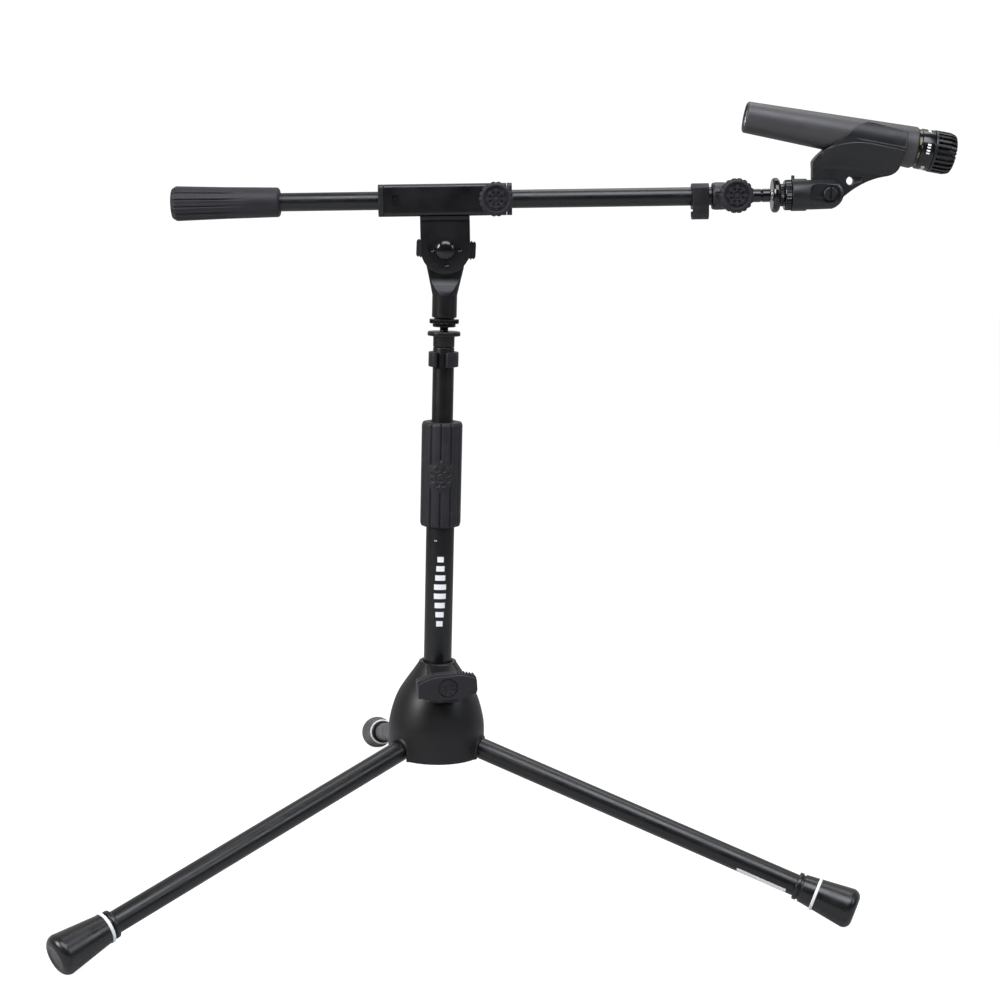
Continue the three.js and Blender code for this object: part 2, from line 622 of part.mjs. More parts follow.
// ---- clip ----
function makeClipBase() {
  const bore = ROD_STUD_R + GAP;
  const barrel = 7.6;
  const flange = 11.1;
  const adapter = [
    [bore, 248.6], [flange - 0.8, 248.6], [flange, 249.6], [flange, CLIP_BASE_START - GAP],
    [barrel, CLIP_BASE_START - GAP], [barrel, 262.3], [bore, 262.3],
  ];
  place(boomLine, 'clip_adapter', alongX(revolve([...adapter, adapter[0]])), brass);

  const forkR = 11;
  const forkX = CLIP_SCREW_X - 1.8;
  const side = new THREE.Shape();
  side.moveTo(CLIP_BASE_START, -CLIP_BASE_R);
  side.lineTo(forkX - 8, -CLIP_BASE_R);
  side.lineTo(forkX, -forkR);
  side.absarc(forkX, 0, forkR, -Math.PI / 2, Math.PI / 2);
  side.lineTo(forkX - 8, CLIP_BASE_R);
  side.lineTo(CLIP_BASE_START, CLIP_BASE_R);
  const body = [
    [0, CLIP_BASE_START], [CLIP_BASE_R, CLIP_BASE_START], [CLIP_BASE_R, 268],
    [CLIP_BASE_R - 0.6, 292], [0, 292],
  ];
  const rounded = common(alongX(revolve(body)), slab(side, -20, 20, 10));
  const cheeks = new THREE.BoxGeometry(24, 20, 40);
  const slot = new THREE.BoxGeometry(30, 2 * FORK_SLOT_HALF, 40);
  const cutters = [
    alongX(rod(barrel + GAP, 250, 262.6)),
    slot.translate(264.6 + 15, 0, 0),
    cheeks.clone().translate(268 + 12, FORK_CHEEK_OUTER + 10, 0),
    cheeks.clone().translate(268 + 12, -FORK_CHEEK_OUTER - 10, 0),
    alongFront(rod(2.5, -20, 20, SMALL_FACETS)).translate(CLIP_SCREW_X, 0, CLIP_SCREW_RISE),
  ];
  const nub = new THREE.BoxGeometry(2.4, 3, 3.4).translate(255, 0, CLIP_BASE_R + 1.2);
  place(boomLine, 'clip_base', carve(rounded, cutters, [nub]), nylon);

  const head = FORK_CHEEK_OUTER + GAP;
  const screw = [
    [0, -8.4], [2.2, -8.4], [2.2, head], [4.9, head], [4.9, head + 1.4], [0, head + 1.4],
  ];
  const fastener = alongFront(revolve(screw, SMALL_FACETS));
  place(boomLine, 'clip_screw', fastener.translate(CLIP_SCREW_X, 0, CLIP_SCREW_RISE), glossBlack);
}

// The microphone's own group: X runs along its axis from the connector end to the head.
const micAxis = group(boomHead, MIC_REAR.x, 0, MIC_REAR.z);
micAxis.rotation.y = MIC_PITCH;

function handleRadiusAt(along) {
  return MIC_REAR_R + ((MIC_FRONT_R - MIC_REAR_R) * along) / MIC_HANDLE_LENGTH;
}

// A point given along and above the boom, as seen in the microphone's own group.
function seenFromMic(x, z) {
  const dx = x - MIC_REAR.x;
  const dz = z - MIC_REAR.z;
  const along = dx * Math.cos(MIC_PITCH) - dz * Math.sin(MIC_PITCH);
  const above = dx * Math.sin(MIC_PITCH) + dz * Math.cos(MIC_PITCH);
  return [along, above];
}

// The holder in side view: a cradle that rises to a full clip, and an ear for the screw.
function holderSideView() {
  const shape = new THREE.Shape();
  const [screwX, screwZ] = seenFromMic(CLIP_SCREW_X, BOOM_RISE + CLIP_SCREW_RISE);
  shape.moveTo(...seenFromMic(306.9, 87.4));
  shape.lineTo(...seenFromMic(335.9, 80));
  shape.lineTo(...seenFromMic(333.5, 65.4));
  shape.lineTo(...seenFromMic(331, 54.1));
  shape.quadraticCurveTo(...seenFromMic(329, 49), ...seenFromMic(321.5, 48.2));
  shape.quadraticCurveTo(...seenFromMic(304, 45.8), ...seenFromMic(288.8, 31.5));
  shape.absarc(screwX, screwZ, 9.6, degrees(-30) + MIC_PITCH, degrees(-180) + MIC_PITCH, true);
  shape.lineTo(...seenFromMic(268.6, 47));
  shape.lineTo(...seenFromMic(268.6, 59.8));
  shape.quadraticCurveTo(...seenFromMic(271, 64), ...seenFromMic(277.6, 68.8));
  shape.bezierCurveTo(
    ...seenFromMic(287.2, 73.5), ...seenFromMic(296.5, 86.4), ...seenFromMic(306.9, 87.4),
  );
  return slab(shape, -30, 30, 6);
}

function makeClipHolder() {
  const wall = 2.4;
  const start = 42;
  const end = 125;
  const shell = [
    [0, start], [handleRadiusAt(start) + wall, start], [handleRadiusAt(end) + wall, end],
    [0, end],
  ];
  const web = beam(polygon([
    [-EAR_HALF, -60], [EAR_HALF, -60], [EAR_HALF, -27], [13.4, -7], [-13.4, -7],
    [-EAR_HALF, -27],
  ]), start, end);
  const bore = [
    [0, start - 10], [handleRadiusAt(start - 10) + GAP, start - 10],
    [handleRadiusAt(end + 5) + GAP, end + 5], [0, end + 5],
  ];
  const [screwX, screwZ] = seenFromMic(CLIP_SCREW_X, BOOM_RISE + CLIP_SCREW_RISE);
  const mouth = new THREE.BoxGeometry(200, 15, 40).translate(80, 0, 20);
  const body = carve(alongX(revolve(shell)), [], [web]);
  const trimmed = common(body, holderSideView());
  const holder = carve(trimmed, [
    alongX(revolve(bore)),
    mouth,
    alongFront(rod(2.5, -30, 30, SMALL_FACETS)).translate(screwX, 0, screwZ),
  ]);
  place(micAxis, 'clip_holder', holder, nylon);
}

function makeMicrophone() {
  const skin = 1.6;
  const handle = [
    [9.3, 0.4], [MIC_REAR_R - 0.9, 0], [MIC_REAR_R, 1], [MIC_FRONT_R, MIC_HANDLE_LENGTH - 1.2],
    [MIC_FRONT_R - 1, MIC_HANDLE_LENGTH], [MIC_FRONT_R - skin, MIC_HANDLE_LENGTH],
    [MIC_FRONT_R - skin, 118], [10.2, 24], [9.3, 22],
  ];
  place(micAxis, 'mic_handle', alongX(revolve([...handle, handle[0]])), enamel);
  const socket = [
    [0, 14], [7.6, 14], [7.6, 1.6], [9, 1.6], [9, 21], [0, 21],
  ];
  place(micAxis, 'mic_connector', alongX(revolve(socket)), bareSteel);
  const headRing = [
    [11, 119], [12.6, 119], [12.6, MIC_HANDLE_LENGTH + GAP], [13.7, MIC_HANDLE_LENGTH + GAP],
    [13.7, MIC_NECK_END], [14.5, MIC_NECK_END + 0.4], [14.7, MIC_RING_END], [11, MIC_RING_END],
  ];
  place(micAxis, 'mic_head_ring', alongX(revolve([...headRing, headRing[0]])), glossBlack);
  const grille = [
    [13.2, MIC_RING_END + GAP], [15.1, MIC_RING_END + GAP], [15.1, MIC_LENGTH - 7],
    [14.3, MIC_LENGTH - 3.6], [12, MIC_LENGTH - 1.5], [6, MIC_LENGTH - 0.3], [0, MIC_LENGTH],
    [0, MIC_LENGTH - 2.5], [11, MIC_LENGTH - 4], [13, MIC_LENGTH - 6.5],
  ];
  const cap = grille.slice(0, 7);
  const lining = grille.slice(7);
  place(micAxis, 'mic_grille', alongX(revolve([...lining, ...cap])), nylon);
  place(micAxis, 'mic_capsule', alongX(rod(CAPSULE_R, 108, 144)), bareSteel);
}

makeBase();
makeBaseKnob();
makeLegs();
makeLowerShaft();
makeClutchGrip();
makeUpperShaft();
makeLockRing();
makeYoke();
makeBracket();
makeTiltKnob();
makeSleeve();
makeRoundKnob('sleeve_knob', SLEEVE_KNOB_X, SLEEVE_HALF_DEPTH + GAP, BOOM_R + 0.6);
makeBoomTube();
makeBoomCableClip();
makeRoundKnob('extension_knob', EXTENSION_KNOB_X, COLLAR_R + GAP, ROD_R + 0.6);
makeExtensionRod();
makeThumbRing();
makeClipBase();
makeClipHolder();
makeMicrophone();

// Stand the assembly on Z = 0 with the middle of its plan over the origin.
assembly.updateMatrixWorld(true);
const extent = new THREE.Box3().setFromObject(assembly, true);
const middle = extent.getCenter(new THREE.Vector3());
assembly.position.set(-middle.x, -middle.y, -extent.min.z);
const stand = new THREE.Group();
stand.add(assembly);

export default stand;
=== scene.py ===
"""The looks of a boom microphone stand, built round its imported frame.

Every piece is drawn in millimetres in a station, a local frame that comes from the
frame's joints, and stands for the CAD node whose name it carries.
"""

import json
import math

import bmesh
import bpy
from mathutils import Matrix, Vector


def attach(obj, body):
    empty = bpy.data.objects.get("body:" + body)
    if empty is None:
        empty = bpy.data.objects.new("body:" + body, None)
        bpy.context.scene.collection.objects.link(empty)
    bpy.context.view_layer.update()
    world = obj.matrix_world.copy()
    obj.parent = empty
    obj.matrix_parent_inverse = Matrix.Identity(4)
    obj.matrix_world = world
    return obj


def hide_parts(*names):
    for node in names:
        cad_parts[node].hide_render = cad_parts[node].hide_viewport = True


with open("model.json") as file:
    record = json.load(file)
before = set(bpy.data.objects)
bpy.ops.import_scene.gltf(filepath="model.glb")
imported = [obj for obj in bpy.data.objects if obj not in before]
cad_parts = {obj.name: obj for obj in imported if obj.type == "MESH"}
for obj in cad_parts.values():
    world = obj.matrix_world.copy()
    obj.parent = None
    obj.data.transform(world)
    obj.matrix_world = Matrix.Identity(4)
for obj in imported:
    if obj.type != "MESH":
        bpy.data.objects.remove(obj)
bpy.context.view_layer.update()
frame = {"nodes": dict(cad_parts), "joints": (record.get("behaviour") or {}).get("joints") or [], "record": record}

MM = 0.001
TURN = 2 * math.pi
GAP = 0.3
ON_AXIS = 1e-6
record = frame["record"]
JOINTS = {joint["name"]: joint for joint in frame["joints"]}
BODY_OF = {n: body for body, nodes in record["behaviour"]["bodies"].items() for n in nodes}
SLOT_OF = {part["node"]: part["material_slot"] for part in record["subparts"]}


# ---- stations ----
def station(origin, x_axis, up):
    """A local frame at origin, with X along x_axis and Z as near to up as it goes."""
    x = Vector(x_axis).normalized()
    y = Vector(up).cross(x).normalized()
    turn = Matrix((x, y, x.cross(y))).transposed().to_4x4()
    return Matrix.Translation(origin) @ turn


def shifted(where, x=0.0, y=0.0, z=0.0):
    return where @ Matrix.Translation(Vector((x, y, z)) * MM)


# These turn a station so that what is drawn along Z runs along X, or out to the front.
ALONG_X = Matrix.Rotation(math.pi / 2, 4, "Y")
TO_FRONT = Matrix.Rotation(math.pi / 2, 4, "X")
UP = (0, 0, 1)

LEG_PIN_RADIUS = 27.0
shaft_x, shaft_y, _ = JOINTS["lock_ring_turn"]["pos_m"]
first_pin = Vector(JOINTS["leg_1_fold"]["pos_m"])
LEG_SLOPE = math.radians(16.95)
LEG_FALL = math.tan(LEG_SLOPE)
crossing = Vector((shaft_x, shaft_y, first_pin.z + LEG_PIN_RADIUS * MM * LEG_FALL))
SHAFT = station(crossing, (1, 0, 0), UP)
boom_axis = Vector(JOINTS["boom_slide"]["axis"])
HEAD = station(JOINTS["boom_tilt"]["pos_m"], boom_axis, UP)
BOOM_RISE = 36.0
BOOM = shifted(HEAD, z=BOOM_RISE)
BOOM_LINE = BOOM @ ALONG_X
MIC_REAR = (219.4, 92.6)
MIC = station(
    HEAD @ (Vector((MIC_REAR[0], 0, MIC_REAR[1])) * MM), JOINTS["mic_slide"]["axis"], UP
)


def leg_station(number):
    pin = Vector(JOINTS[f"leg_{number}_fold"]["pos_m"])
    return station(crossing, pin - crossing, UP)


def knob_station(joint, roll):
    """Z runs out of the knob along its joint, and X runs to the right, rolled a little."""
    out = Vector(JOINTS[joint]["axis"])
    flat = station(JOINTS[joint]["pos_m"], Vector(UP).cross(out), UP)
    return flat @ TO_FRONT @ Matrix.Rotation(math.radians(roll), 4, "Z")


# ---- outlines ----
def rounded(points, closed=False, steps=5):
    """The outline with round corners: a point is (a, b), or (a, b, corner radius)."""
    made = []
    for i, point in enumerate(points):
        here = Vector(point[:2])
        is_end = not closed and i in (0, len(points) - 1)
        if len(point) < 3 or is_end:
            made.append(tuple(here))
            continue
        back = Vector(points[i - 1][:2]) - here
        ahead = Vector(points[(i + 1) % len(points)][:2]) - here
        half = back.angle(ahead) / 2
        reach = min(point[2] / math.tan(half), 0.49 * back.length, 0.49 * ahead.length)
        radius = reach * math.tan(half)
        middle = here + (back.normalized() + ahead.normalized()).normalized() * (
            radius / math.sin(half)
        )
        first = here + back.normalized() * reach - middle
        last = here + ahead.normalized() * reach - middle
        start = math.atan2(first.y, first.x)
        sweep = (math.atan2(last.y, last.x) - start + math.pi) % TURN - math.pi
        for step in range(steps + 1):
            angle = start + sweep * step / steps
            made.append((middle.x + radius * math.cos(angle), middle.y + radius * math.sin(angle)))
    return made


def loop(points, steps=5):
    """A closed outline with round corners."""
    return rounded(points, True, steps)


def fine(points, step, closed=False):
    """The outline with its long stretches divided, so that a surface on it can bend."""
    made = []
    pairs = list(zip(points, points[1:]))
    if closed:
        pairs.append((points[-1], points[0]))
    for a, b in pairs:
        count = max(1, math.ceil(math.dist(a, b) / step))
        for k in range(count):
            made.append((a[0] + (b[0] - a[0]) * k / count, a[1] + (b[1] - a[1]) * k / count))
    if not closed:
        made.append(points[-1])
    return made


def arc(cx, cy, radius, start, end, steps=16):
    """Points on an arc, with its angles in degrees."""
    angles = [math.radians(start + (end - start) * k / steps) for k in range(steps + 1)]
    return [(cx + radius * math.cos(a), cy + radius * math.sin(a)) for a in angles]


def curve(start, pull, end, steps=10):
    """Points on a quadratic curve after its start."""
    made = []
    for k in range(1, steps + 1):
        t = k / steps
        weights = ((1 - t) ** 2, 2 * t * (1 - t), t * t)
        made.append(tuple(sum(w * p[i] for w, p in zip(weights, (start, pull, end))) for i in (0, 1)))
    return made


def smooth_step(low, high, value):
    share = min(1.0, max(0.0, (value - low) / (high - low)))
    return share * share * (3 - 2 * share)


def bell(value):
    return math.exp(-(value ** 2))


def share_of_turn(angle, count, start=0.0):
    """Where an angle lies in its share of a turn cut in count, from -0.5 to 0.5."""
    return (angle / TURN * count + start) % 1 - 0.5


# ---- mesh data: (points in millimetres, faces) ----
def lathe(outline, segments=96, bend=None):
    """An outline of (radius, height) points turned about Z, and closed unless it starts
    on the axis. bend(radius, height, angle) gives a point's real radius and height."""
    points, faces, rows = [], [], []
    for radius, height in outline:
        row = []
        for k in range(segments if radius > ON_AXIS else 1):
            angle = TURN * k / segments
            r, z = bend(radius, height, angle) if bend else (radius, height)
            row.append(len(points))
            points.append((r * math.cos(angle), r * math.sin(angle), z))
        rows.append(row)
    pairs = list(zip(rows, rows[1:])) + ([(rows[-1], rows[0])] if outline[0][0] > ON_AXIS else [])
    for low, high in pairs:
        for k in range(segments):
            corners = (low[k % len(low)], low[(k + 1) % len(low)],
                       high[(k + 1) % len(high)], high[k % len(high)])
            corners = list(dict.fromkeys(corners))
            if len(corners) > 2:
                faces.append(corners)
    return points, faces


def inset(outline, amount):
    """The closed outline moved inwards."""
    area = sum(a[0] * b[1] - a[1] * b[0] for a, b in zip(outline, outline[1:] + outline[:1]))
    side = 1 if area > 0 else -1
    made = []
    for i, here in enumerate(outline):
        before = (Vector(here) - Vector(outline[i - 1])).normalized()
        after = (Vector(outline[(i + 1) % len(outline)]) - Vector(here)).normalized()
        normal = (Vector((-before.y, before.x)) + Vector((-after.y, after.x))).normalized()
        share = max(0.5, normal.dot(Vector((-before.y, before.x))))
        made.append(tuple(Vector(here) + normal * (side * amount / share)))
    return made


def prism(outline, low, high, rim=0.0, steps=3):
    """A closed outline in XY run along Z, with both its rims rounded."""
    layers = []
    if rim:
        for k in range(steps + 1):
            angle = math.pi / 2 * k / steps
            layers.append((rim * (1 - math.sin(angle)), rim * (1 - math.cos(angle))))
    else:
        layers.append((0, 0))
    bottom = [(inset(outline, d), low + rise) for d, rise in layers]
    top = [(inset(outline, d), high - rise) for d, rise in reversed(layers)]
    return loft([[(x, y, z) for x, y in loop] for loop, z in bottom + top])


def loft(sections):
    """Closed sections, each a list of (x, y, z) of one length, joined and capped."""
    count = len(sections[0])
    points = [p for section in sections for p in section]
    faces = [list(range(count)), list(range(len(points) - count, len(points)))]
    for layer in range(len(sections) - 1):
        for k in range(count):
            a, b = layer * count + k, layer * count + (k + 1) % count
            faces.append([a, b, b + count, a + count])
    return points, faces


def box(x, y, z):
    """A box between three (low, high) pairs."""
    corners = [(x[0], y[0]), (x[1], y[0]), (x[1], y[1]), (x[0], y[1])]
    return prism(corners, z[0], z[1])


# ---- objects ----
def added(name, data):
    """A new object in the scene."""
    made = bpy.data.objects.new(name, data)
    bpy.context.scene.collection.objects.link(made)
    return made


def solid(data, where=None, name="scratch"):
    """An object from mesh data, placed in a station."""
    mesh = bpy.data.meshes.new(name)
    mesh.from_pydata([Vector(p) * MM for p in data[0]], [], data[1])
    tidy = bmesh.new()
    tidy.from_mesh(mesh)
    bmesh.ops.remove_doubles(tidy, verts=tidy.verts, dist=1e-7)
    bmesh.ops.recalc_face_normals(tidy, faces=tidy.faces)
    tidy.to_mesh(mesh)
    tidy.free()
    made = added(name, mesh)
    if where is not None:
        made.matrix_world = where
    return made


def rod(where, radius, low, high, segments=48):
    return solid(lathe([(0, low), (radius, low), (radius, high), (0, high)], segments), where)


def applied(body):
    """Turns an object's modifiers into its mesh."""
    bpy.context.view_layer.update()
    shape = body.evaluated_get(bpy.context.evaluated_depsgraph_get())
    mesh = bpy.data.meshes.new_from_object(shape)
    old = body.data
    body.modifiers.clear()
    body.data = mesh
    bpy.data.meshes.remove(old)
    return body


def combined(body, others, operation):
    for other in others:
        cut = body.modifiers.new(operation.lower(), "BOOLEAN")
        cut.operation = operation
        cut.solver = "MANIFOLD"
        cut.object = other
    applied(body)
    for other in others:
        bpy.data.objects.remove(other)
    return body


def cut(body, cutters):
    return combined(body, cutters, "DIFFERENCE")


def joined(body, others):
    return combined(body, others, "UNION")


def melted(body, voxel, rounds):
    """Rebuilds a body on a fine grid and softens it, as a casting or moulding is soft."""
    grid = body.modifiers.new("grid", "REMESH")
    grid.mode = "VOXEL"
    grid.voxel_size = voxel * MM
    soft = body.modifiers.new("soft", "SMOOTH")
    soft.factor = 0.5
    soft.iterations = rounds
    return applied(body)


def bevelled(body, width, angle=35, segments=3):
    """Rounds a body's sharp edges."""
    rim = body.modifiers.new("bevel", "BEVEL")
    rim.width = width * MM
    rim.segments = segments
    rim.limit_method = "ANGLE"
    rim.angle_limit = math.radians(angle)
    return applied(body)


def show(made, node, slot=None, name=None, body=None, sharp=32):
    """Shades a finished object, names it, gives it its finish and lets it stand for a node."""
    mesh = made.data
    mesh.polygons.foreach_set("use_smooth", [True] * len(mesh.polygons))
    mesh.set_sharp_from_angle(angle=math.radians(sharp))
    made.name = name or f"{node}_shape"
    mesh.name = made.name
    slot = slot or SLOT_OF[node]
    mesh.materials.clear()
    mesh.materials.append(FINISHES[slot])
    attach(made, body or BODY_OF[node])
    if name is None:
        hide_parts(node)
    return made


def turned(node, outline, where, segments=96, bend=None, **how):
    """A lathe-turned piece that stands for a node."""
    return show(solid(lathe(outline, segments, bend), where), node, **how)


# ---- finishes ----
FINISHES = {}


def set_inputs(node, values):
    for name, value in values.items():
        node.inputs[name].default_value = value


def link(tree, source, target):
    tree.links.new(source, target)


def noise_map(tree, scale, detail=2.0, stretch=(1, 1, 1)):
    """Noise on the piece's own coordinates, in cycles a metre."""
    where = tree.nodes.new("ShaderNodeTexCoord")
    mapping = tree.nodes.new("ShaderNodeMapping")
    mapping.inputs["Scale"].default_value = stretch
    texture = tree.nodes.new("ShaderNodeTexNoise")
    set_inputs(texture, {"Scale": scale, "Detail": detail})
    link(tree, where.outputs["Object"], mapping.inputs["Vector"])
    link(tree, mapping.outputs["Vector"], texture.inputs["Vector"])
    return texture.outputs["Fac"]


def ranged(tree, value, low, high, to_low, to_high):
    node = tree.nodes.new("ShaderNodeMapRange")
    set_inputs(node, {"From Min": low, "From Max": high, "To Min": to_low, "To Max": to_high})
    link(tree, value, node.inputs["Value"])
    return node.outputs["Result"]


def mixed(tree, share, first, second):
    """A colour between two, where either may be a socket."""
    node = tree.nodes.new("ShaderNodeMix")
    node.data_type = "RGBA"
    for socket, colour in ((node.inputs[6], first), (node.inputs[7], second)):
        if isinstance(colour, bpy.types.NodeSocket):
            link(tree, colour, socket)
        else:
            socket.default_value = (*colour, 1)
    link(tree, share, node.inputs[0])
    return node.outputs[2]


def product(tree, first, second):
    node = tree.nodes.new("ShaderNodeMath")
    node.operation = "MULTIPLY"
    link(tree, first, node.inputs[0])
    link(tree, second, node.inputs[1])
    return node.outputs[0]


def finish(slot, colour, roughness, metallic=0.0, grain=(1500, 0.03), spread=0.2, edge_glint=None,
           stretch=(1, 1, 1), peel=None, specular=0.5, rough_spread=0.06, sheen=0.0):
    """A finish with mottled colour and roughness, a fine relief, a slower wave in it
    like the peel of paint, and a painted highlight on its sharp edges. Grain and peel are (cycles a metre, depth
    in mm)."""
    made = bpy.data.materials.new(slot)
    made.use_nodes = True
    tree = made.node_tree
    shader = tree.nodes["Principled BSDF"]
    set_inputs(shader, {"Metallic": metallic, "Specular IOR Level": specular,
                        "Sheen Weight": sheen, "Sheen Roughness": 0.4})
    cloudy = noise_map(tree, 70, 4.0)
    speck = noise_map(tree, grain[0], 3.0, stretch)
    dark = [c * (1 - spread) for c in colour]
    light = [c * (1 + spread) for c in colour]
    tint = mixed(tree, ranged(tree, cloudy, 0.3, 0.7, 0, 1), dark, light)
    flecks = [min(1, 1.6 * c) for c in colour]
    tint = mixed(tree, ranged(tree, speck, 0.35, 0.75, 0, 0.35), tint, flecks)
    gloss = ranged(tree, cloudy, 0.3, 0.7, roughness - rough_spread, roughness + rough_spread)
    # Sharp convex edges, found by pointiness, are lightened towards a paler colour and broken up by noise: a
    # painted highlight.
    if edge_glint:
        edge = tree.nodes.new("ShaderNodeNewGeometry").outputs["Pointiness"]
        glint_share = product(tree, ranged(tree, edge, 0.52, 0.6, 0, edge_glint[1]), noise_map(tree, 400, 4.0))
        tint = mixed(tree, glint_share, tint, edge_glint[0])
    link(tree, tint, shader.inputs["Base Color"])
    link(tree, gloss, shader.inputs["Roughness"])
    previous = None
    for scale, depth in [g for g in (peel, grain) if g]:
        bump = tree.nodes.new("ShaderNodeBump")
        set_inputs(bump, {"Strength": 1.0, "Distance": depth * MM})
        link(tree, noise_map(tree, scale, 2.0, stretch), bump.inputs["Height"])
        if previous is not None:
            link(tree, previous, bump.inputs["Normal"])
        previous = bump.outputs["Normal"]
    link(tree, previous, shader.inputs["Normal"])
    FINISHES[slot] = made


def make_finishes():
    # Where a finish is given an edge colour and strength, that colour is a painted highlight on its sharp edges.
    finish("powder_black", (0.0035, 0.0035, 0.0042), 0.33, grain=(2600, 0.006), spread=0.15)
    finish("hub_black", (0.006, 0.0058, 0.0065), 0.42, grain=(2300, 0.04), peel=(420, 0.02),
           edge_glint=((0.05, 0.05, 0.055), 0.5), specular=0.4)
    finish("gloss_black", (0.005, 0.005, 0.0055), 0.16, grain=(1800, 0.003), rough_spread=0.04)
    finish("rubber_black", (0.0075, 0.0075, 0.008), 0.3, grain=(1500, 0.01), peel=(150, 0.04),
           edge_glint=((0.03, 0.03, 0.03), 0.4))
    finish("grip_black", (0.0105, 0.0102, 0.0135), 0.55, grain=(2600, 0.03), sheen=0.03,
           edge_glint=((0.045, 0.045, 0.05), 0.5), specular=0.42)
    finish("nylon_black", (0.0085, 0.0085, 0.0098), 0.42, grain=(2400, 0.018), peel=(300, 0.015),
           edge_glint=((0.05, 0.05, 0.055), 0.4), specular=0.45)
    finish("bare_steel", (0.62, 0.62, 0.63), 0.42, metallic=1.0, grain=(900, 0.004),
           stretch=(1, 1, 0.08))
    finish("bearing_white", (0.62, 0.62, 0.58), 0.45, grain=(1500, 0.01))
    finish("ring_white", (0.84, 0.84, 0.85), 0.5, grain=(1800, 0.01), spread=0.03)
    finish("brass", (0.2, 0.165, 0.075), 0.45, metallic=0.6, grain=(1200, 0.006))
    finish("mic_enamel", (0.041, 0.039, 0.041), 0.46, grain=(3200, 0.012), spread=0.08,
           edge_glint=((0.1, 0.1, 0.1), 0.3))
    finish("grille_black", (0.009, 0.009, 0.01), 0.36, grain=(2600, 0.012))


# ---- base ----
DOME = [(36.4, -17.8), (36.8, -6), (35.8, 10), (29.9, 29), (17.6, 48), (13.6, 54)]
LEG_AZIMUTHS = (102, 222, 342)
LEG_R = 7.94
LEG_BORE_R = LEG_R - 1.25
PIN_BORE_R = 2.5
SLOT_HALF = LEG_R + 0.5
HUB_BOTTOM = -17.8
HUB_BORE_R = 12.7
HUB_RIM_R = 11.1
KNOB_AZIMUTH = 282
KNOB_BOSS_FACE = 34.5


def catmull(points, steps):
    """A smooth curve through the points."""
    ends = [points[0], *points, points[-1]]
    made = []
    for p0, p1, p2, p3 in zip(ends, ends[1:], ends[2:], ends[3:]):
        for k in range(steps):
            t = k / steps
            made.append(tuple(
                0.5 * (2 * b + (c - a) * t + (2 * a - 5 * b + 4 * c - d) * t ** 2
                       + (3 * b - a - 3 * c + d) * t ** 3)
                for a, b, c, d in zip(p0, p1, p2, p3)))
    made.append(points[-1])
    return made


def dome(grow):
    side = [(r + grow, z) for r, z in catmull(DOME, 8)]
    return lathe([(0, HUB_BOTTOM), *side, (0, DOME[-1][1])], 128)


def rotated(where, azimuth):
    return where @ Matrix.Rotation(math.radians(azimuth), 4, "Z")


def arch(half, end):
    """The space of a leg in its slot: a round roof that is open straight below."""
    outline = [(-half, -40), (half, -40), *arc(0, 0, half, 0, 180, 24)]
    return loft([[(x, y, z - x * LEG_FALL) for y, z in outline] for x in (17, end)])


def make_hub():
    hub = solid(dome(0), SHAFT)
    bands = []
    for azimuth in LEG_AZIMUTHS:
        band = solid(dome(1.1), SHAFT)
        frame_round_leg = solid(arch(SLOT_HALF + 1.9, 44), rotated(SHAFT, azimuth))
        bands.append(combined(band, [frame_round_leg], "INTERSECT"))
    boss = solid(prism(loop([
        (9.5, -9.4), (KNOB_BOSS_FACE, -11.2, 1.5), (KNOB_BOSS_FACE, 11.2, 1.5), (9.5, 9.4),
    ]), 30, 53.6), rotated(SHAFT, KNOB_AZIMUTH))
    side = [(4, 30), (50, 30), (50, 50.4), (KNOB_BOSS_FACE - 2, 51.0), (15, 53.2), (4, 53.4)]
    slope = solid(loft([[(x, y, z) for x, z in side] for y in (-20, 20)]),
                  rotated(SHAFT, KNOB_AZIMUTH))
    combined(boss, [slope], "INTERSECT")
    collar = solid(lathe([(10, 47), (14.6, 47), (14.2, 54.2), (10, 54.2)]), SHAFT)
    joined(hub, [*bands, boss, collar])

    cutters = [
        rod(SHAFT, HUB_RIM_R, -25, 60, 96),
        rod(SHAFT, HUB_BORE_R, -25, 50, 96),
        rod(shifted(rotated(SHAFT, KNOB_AZIMUTH), z=44.5) @ ALONG_X, 3.7, 10, 40),
    ]
    for azimuth in LEG_AZIMUTHS:
        cutters.append(solid(arch(SLOT_HALF, 50), rotated(SHAFT, azimuth)))
        at_pin = shifted(rotated(SHAFT, azimuth), LEG_PIN_RADIUS, 0, -LEG_PIN_RADIUS * LEG_FALL)
        cutters.append(rod(at_pin @ TO_FRONT, PIN_BORE_R, -12.3, 12.3))
        for rim, low, high in ((32.4, -22, 8), (26.5, 6, 27)):
            cutters.append(pocket(azimuth + 60, rim, low, high))
    cut(hub, cutters)
    melted(hub, 0.5, 4)
    show(hub, "base_hub", sharp=60)


def pocket(azimuth, rim, low, high):
    """A cored space between two leg slots, a wedge with a round rim."""
    lug = SLOT_HALF + 5.2
    apex = lug / math.sin(math.pi / 3)
    reach = math.sqrt(rim ** 2 - lug ** 2)
    half = 60 - math.degrees(math.atan2(lug, reach))
    outline = [(apex + 0.8, 0), *arc(0, 0, rim, -half, half, 12)]
    return solid(prism(outline, low, high), rotated(SHAFT, azimuth))


def medallion_depth(share, angle):
    """Relief of the round badge: two fine rings with a ring of eight dimples between.
    share is the distance from its middle as a part of its radius."""
    ring = 0.0
    for at, half_width in ((0.92, 0.055), (0.3, 0.06)):
        ring = max(ring, 1 - smooth_step(half_width, half_width + 0.03, abs(share - at)))
    across = share_of_turn(angle, 8) * TURN / 8 * share
    dimple = 1 - smooth_step(0.15, 0.18, math.hypot(across, share - 0.6))
    return max(ring, dimple)


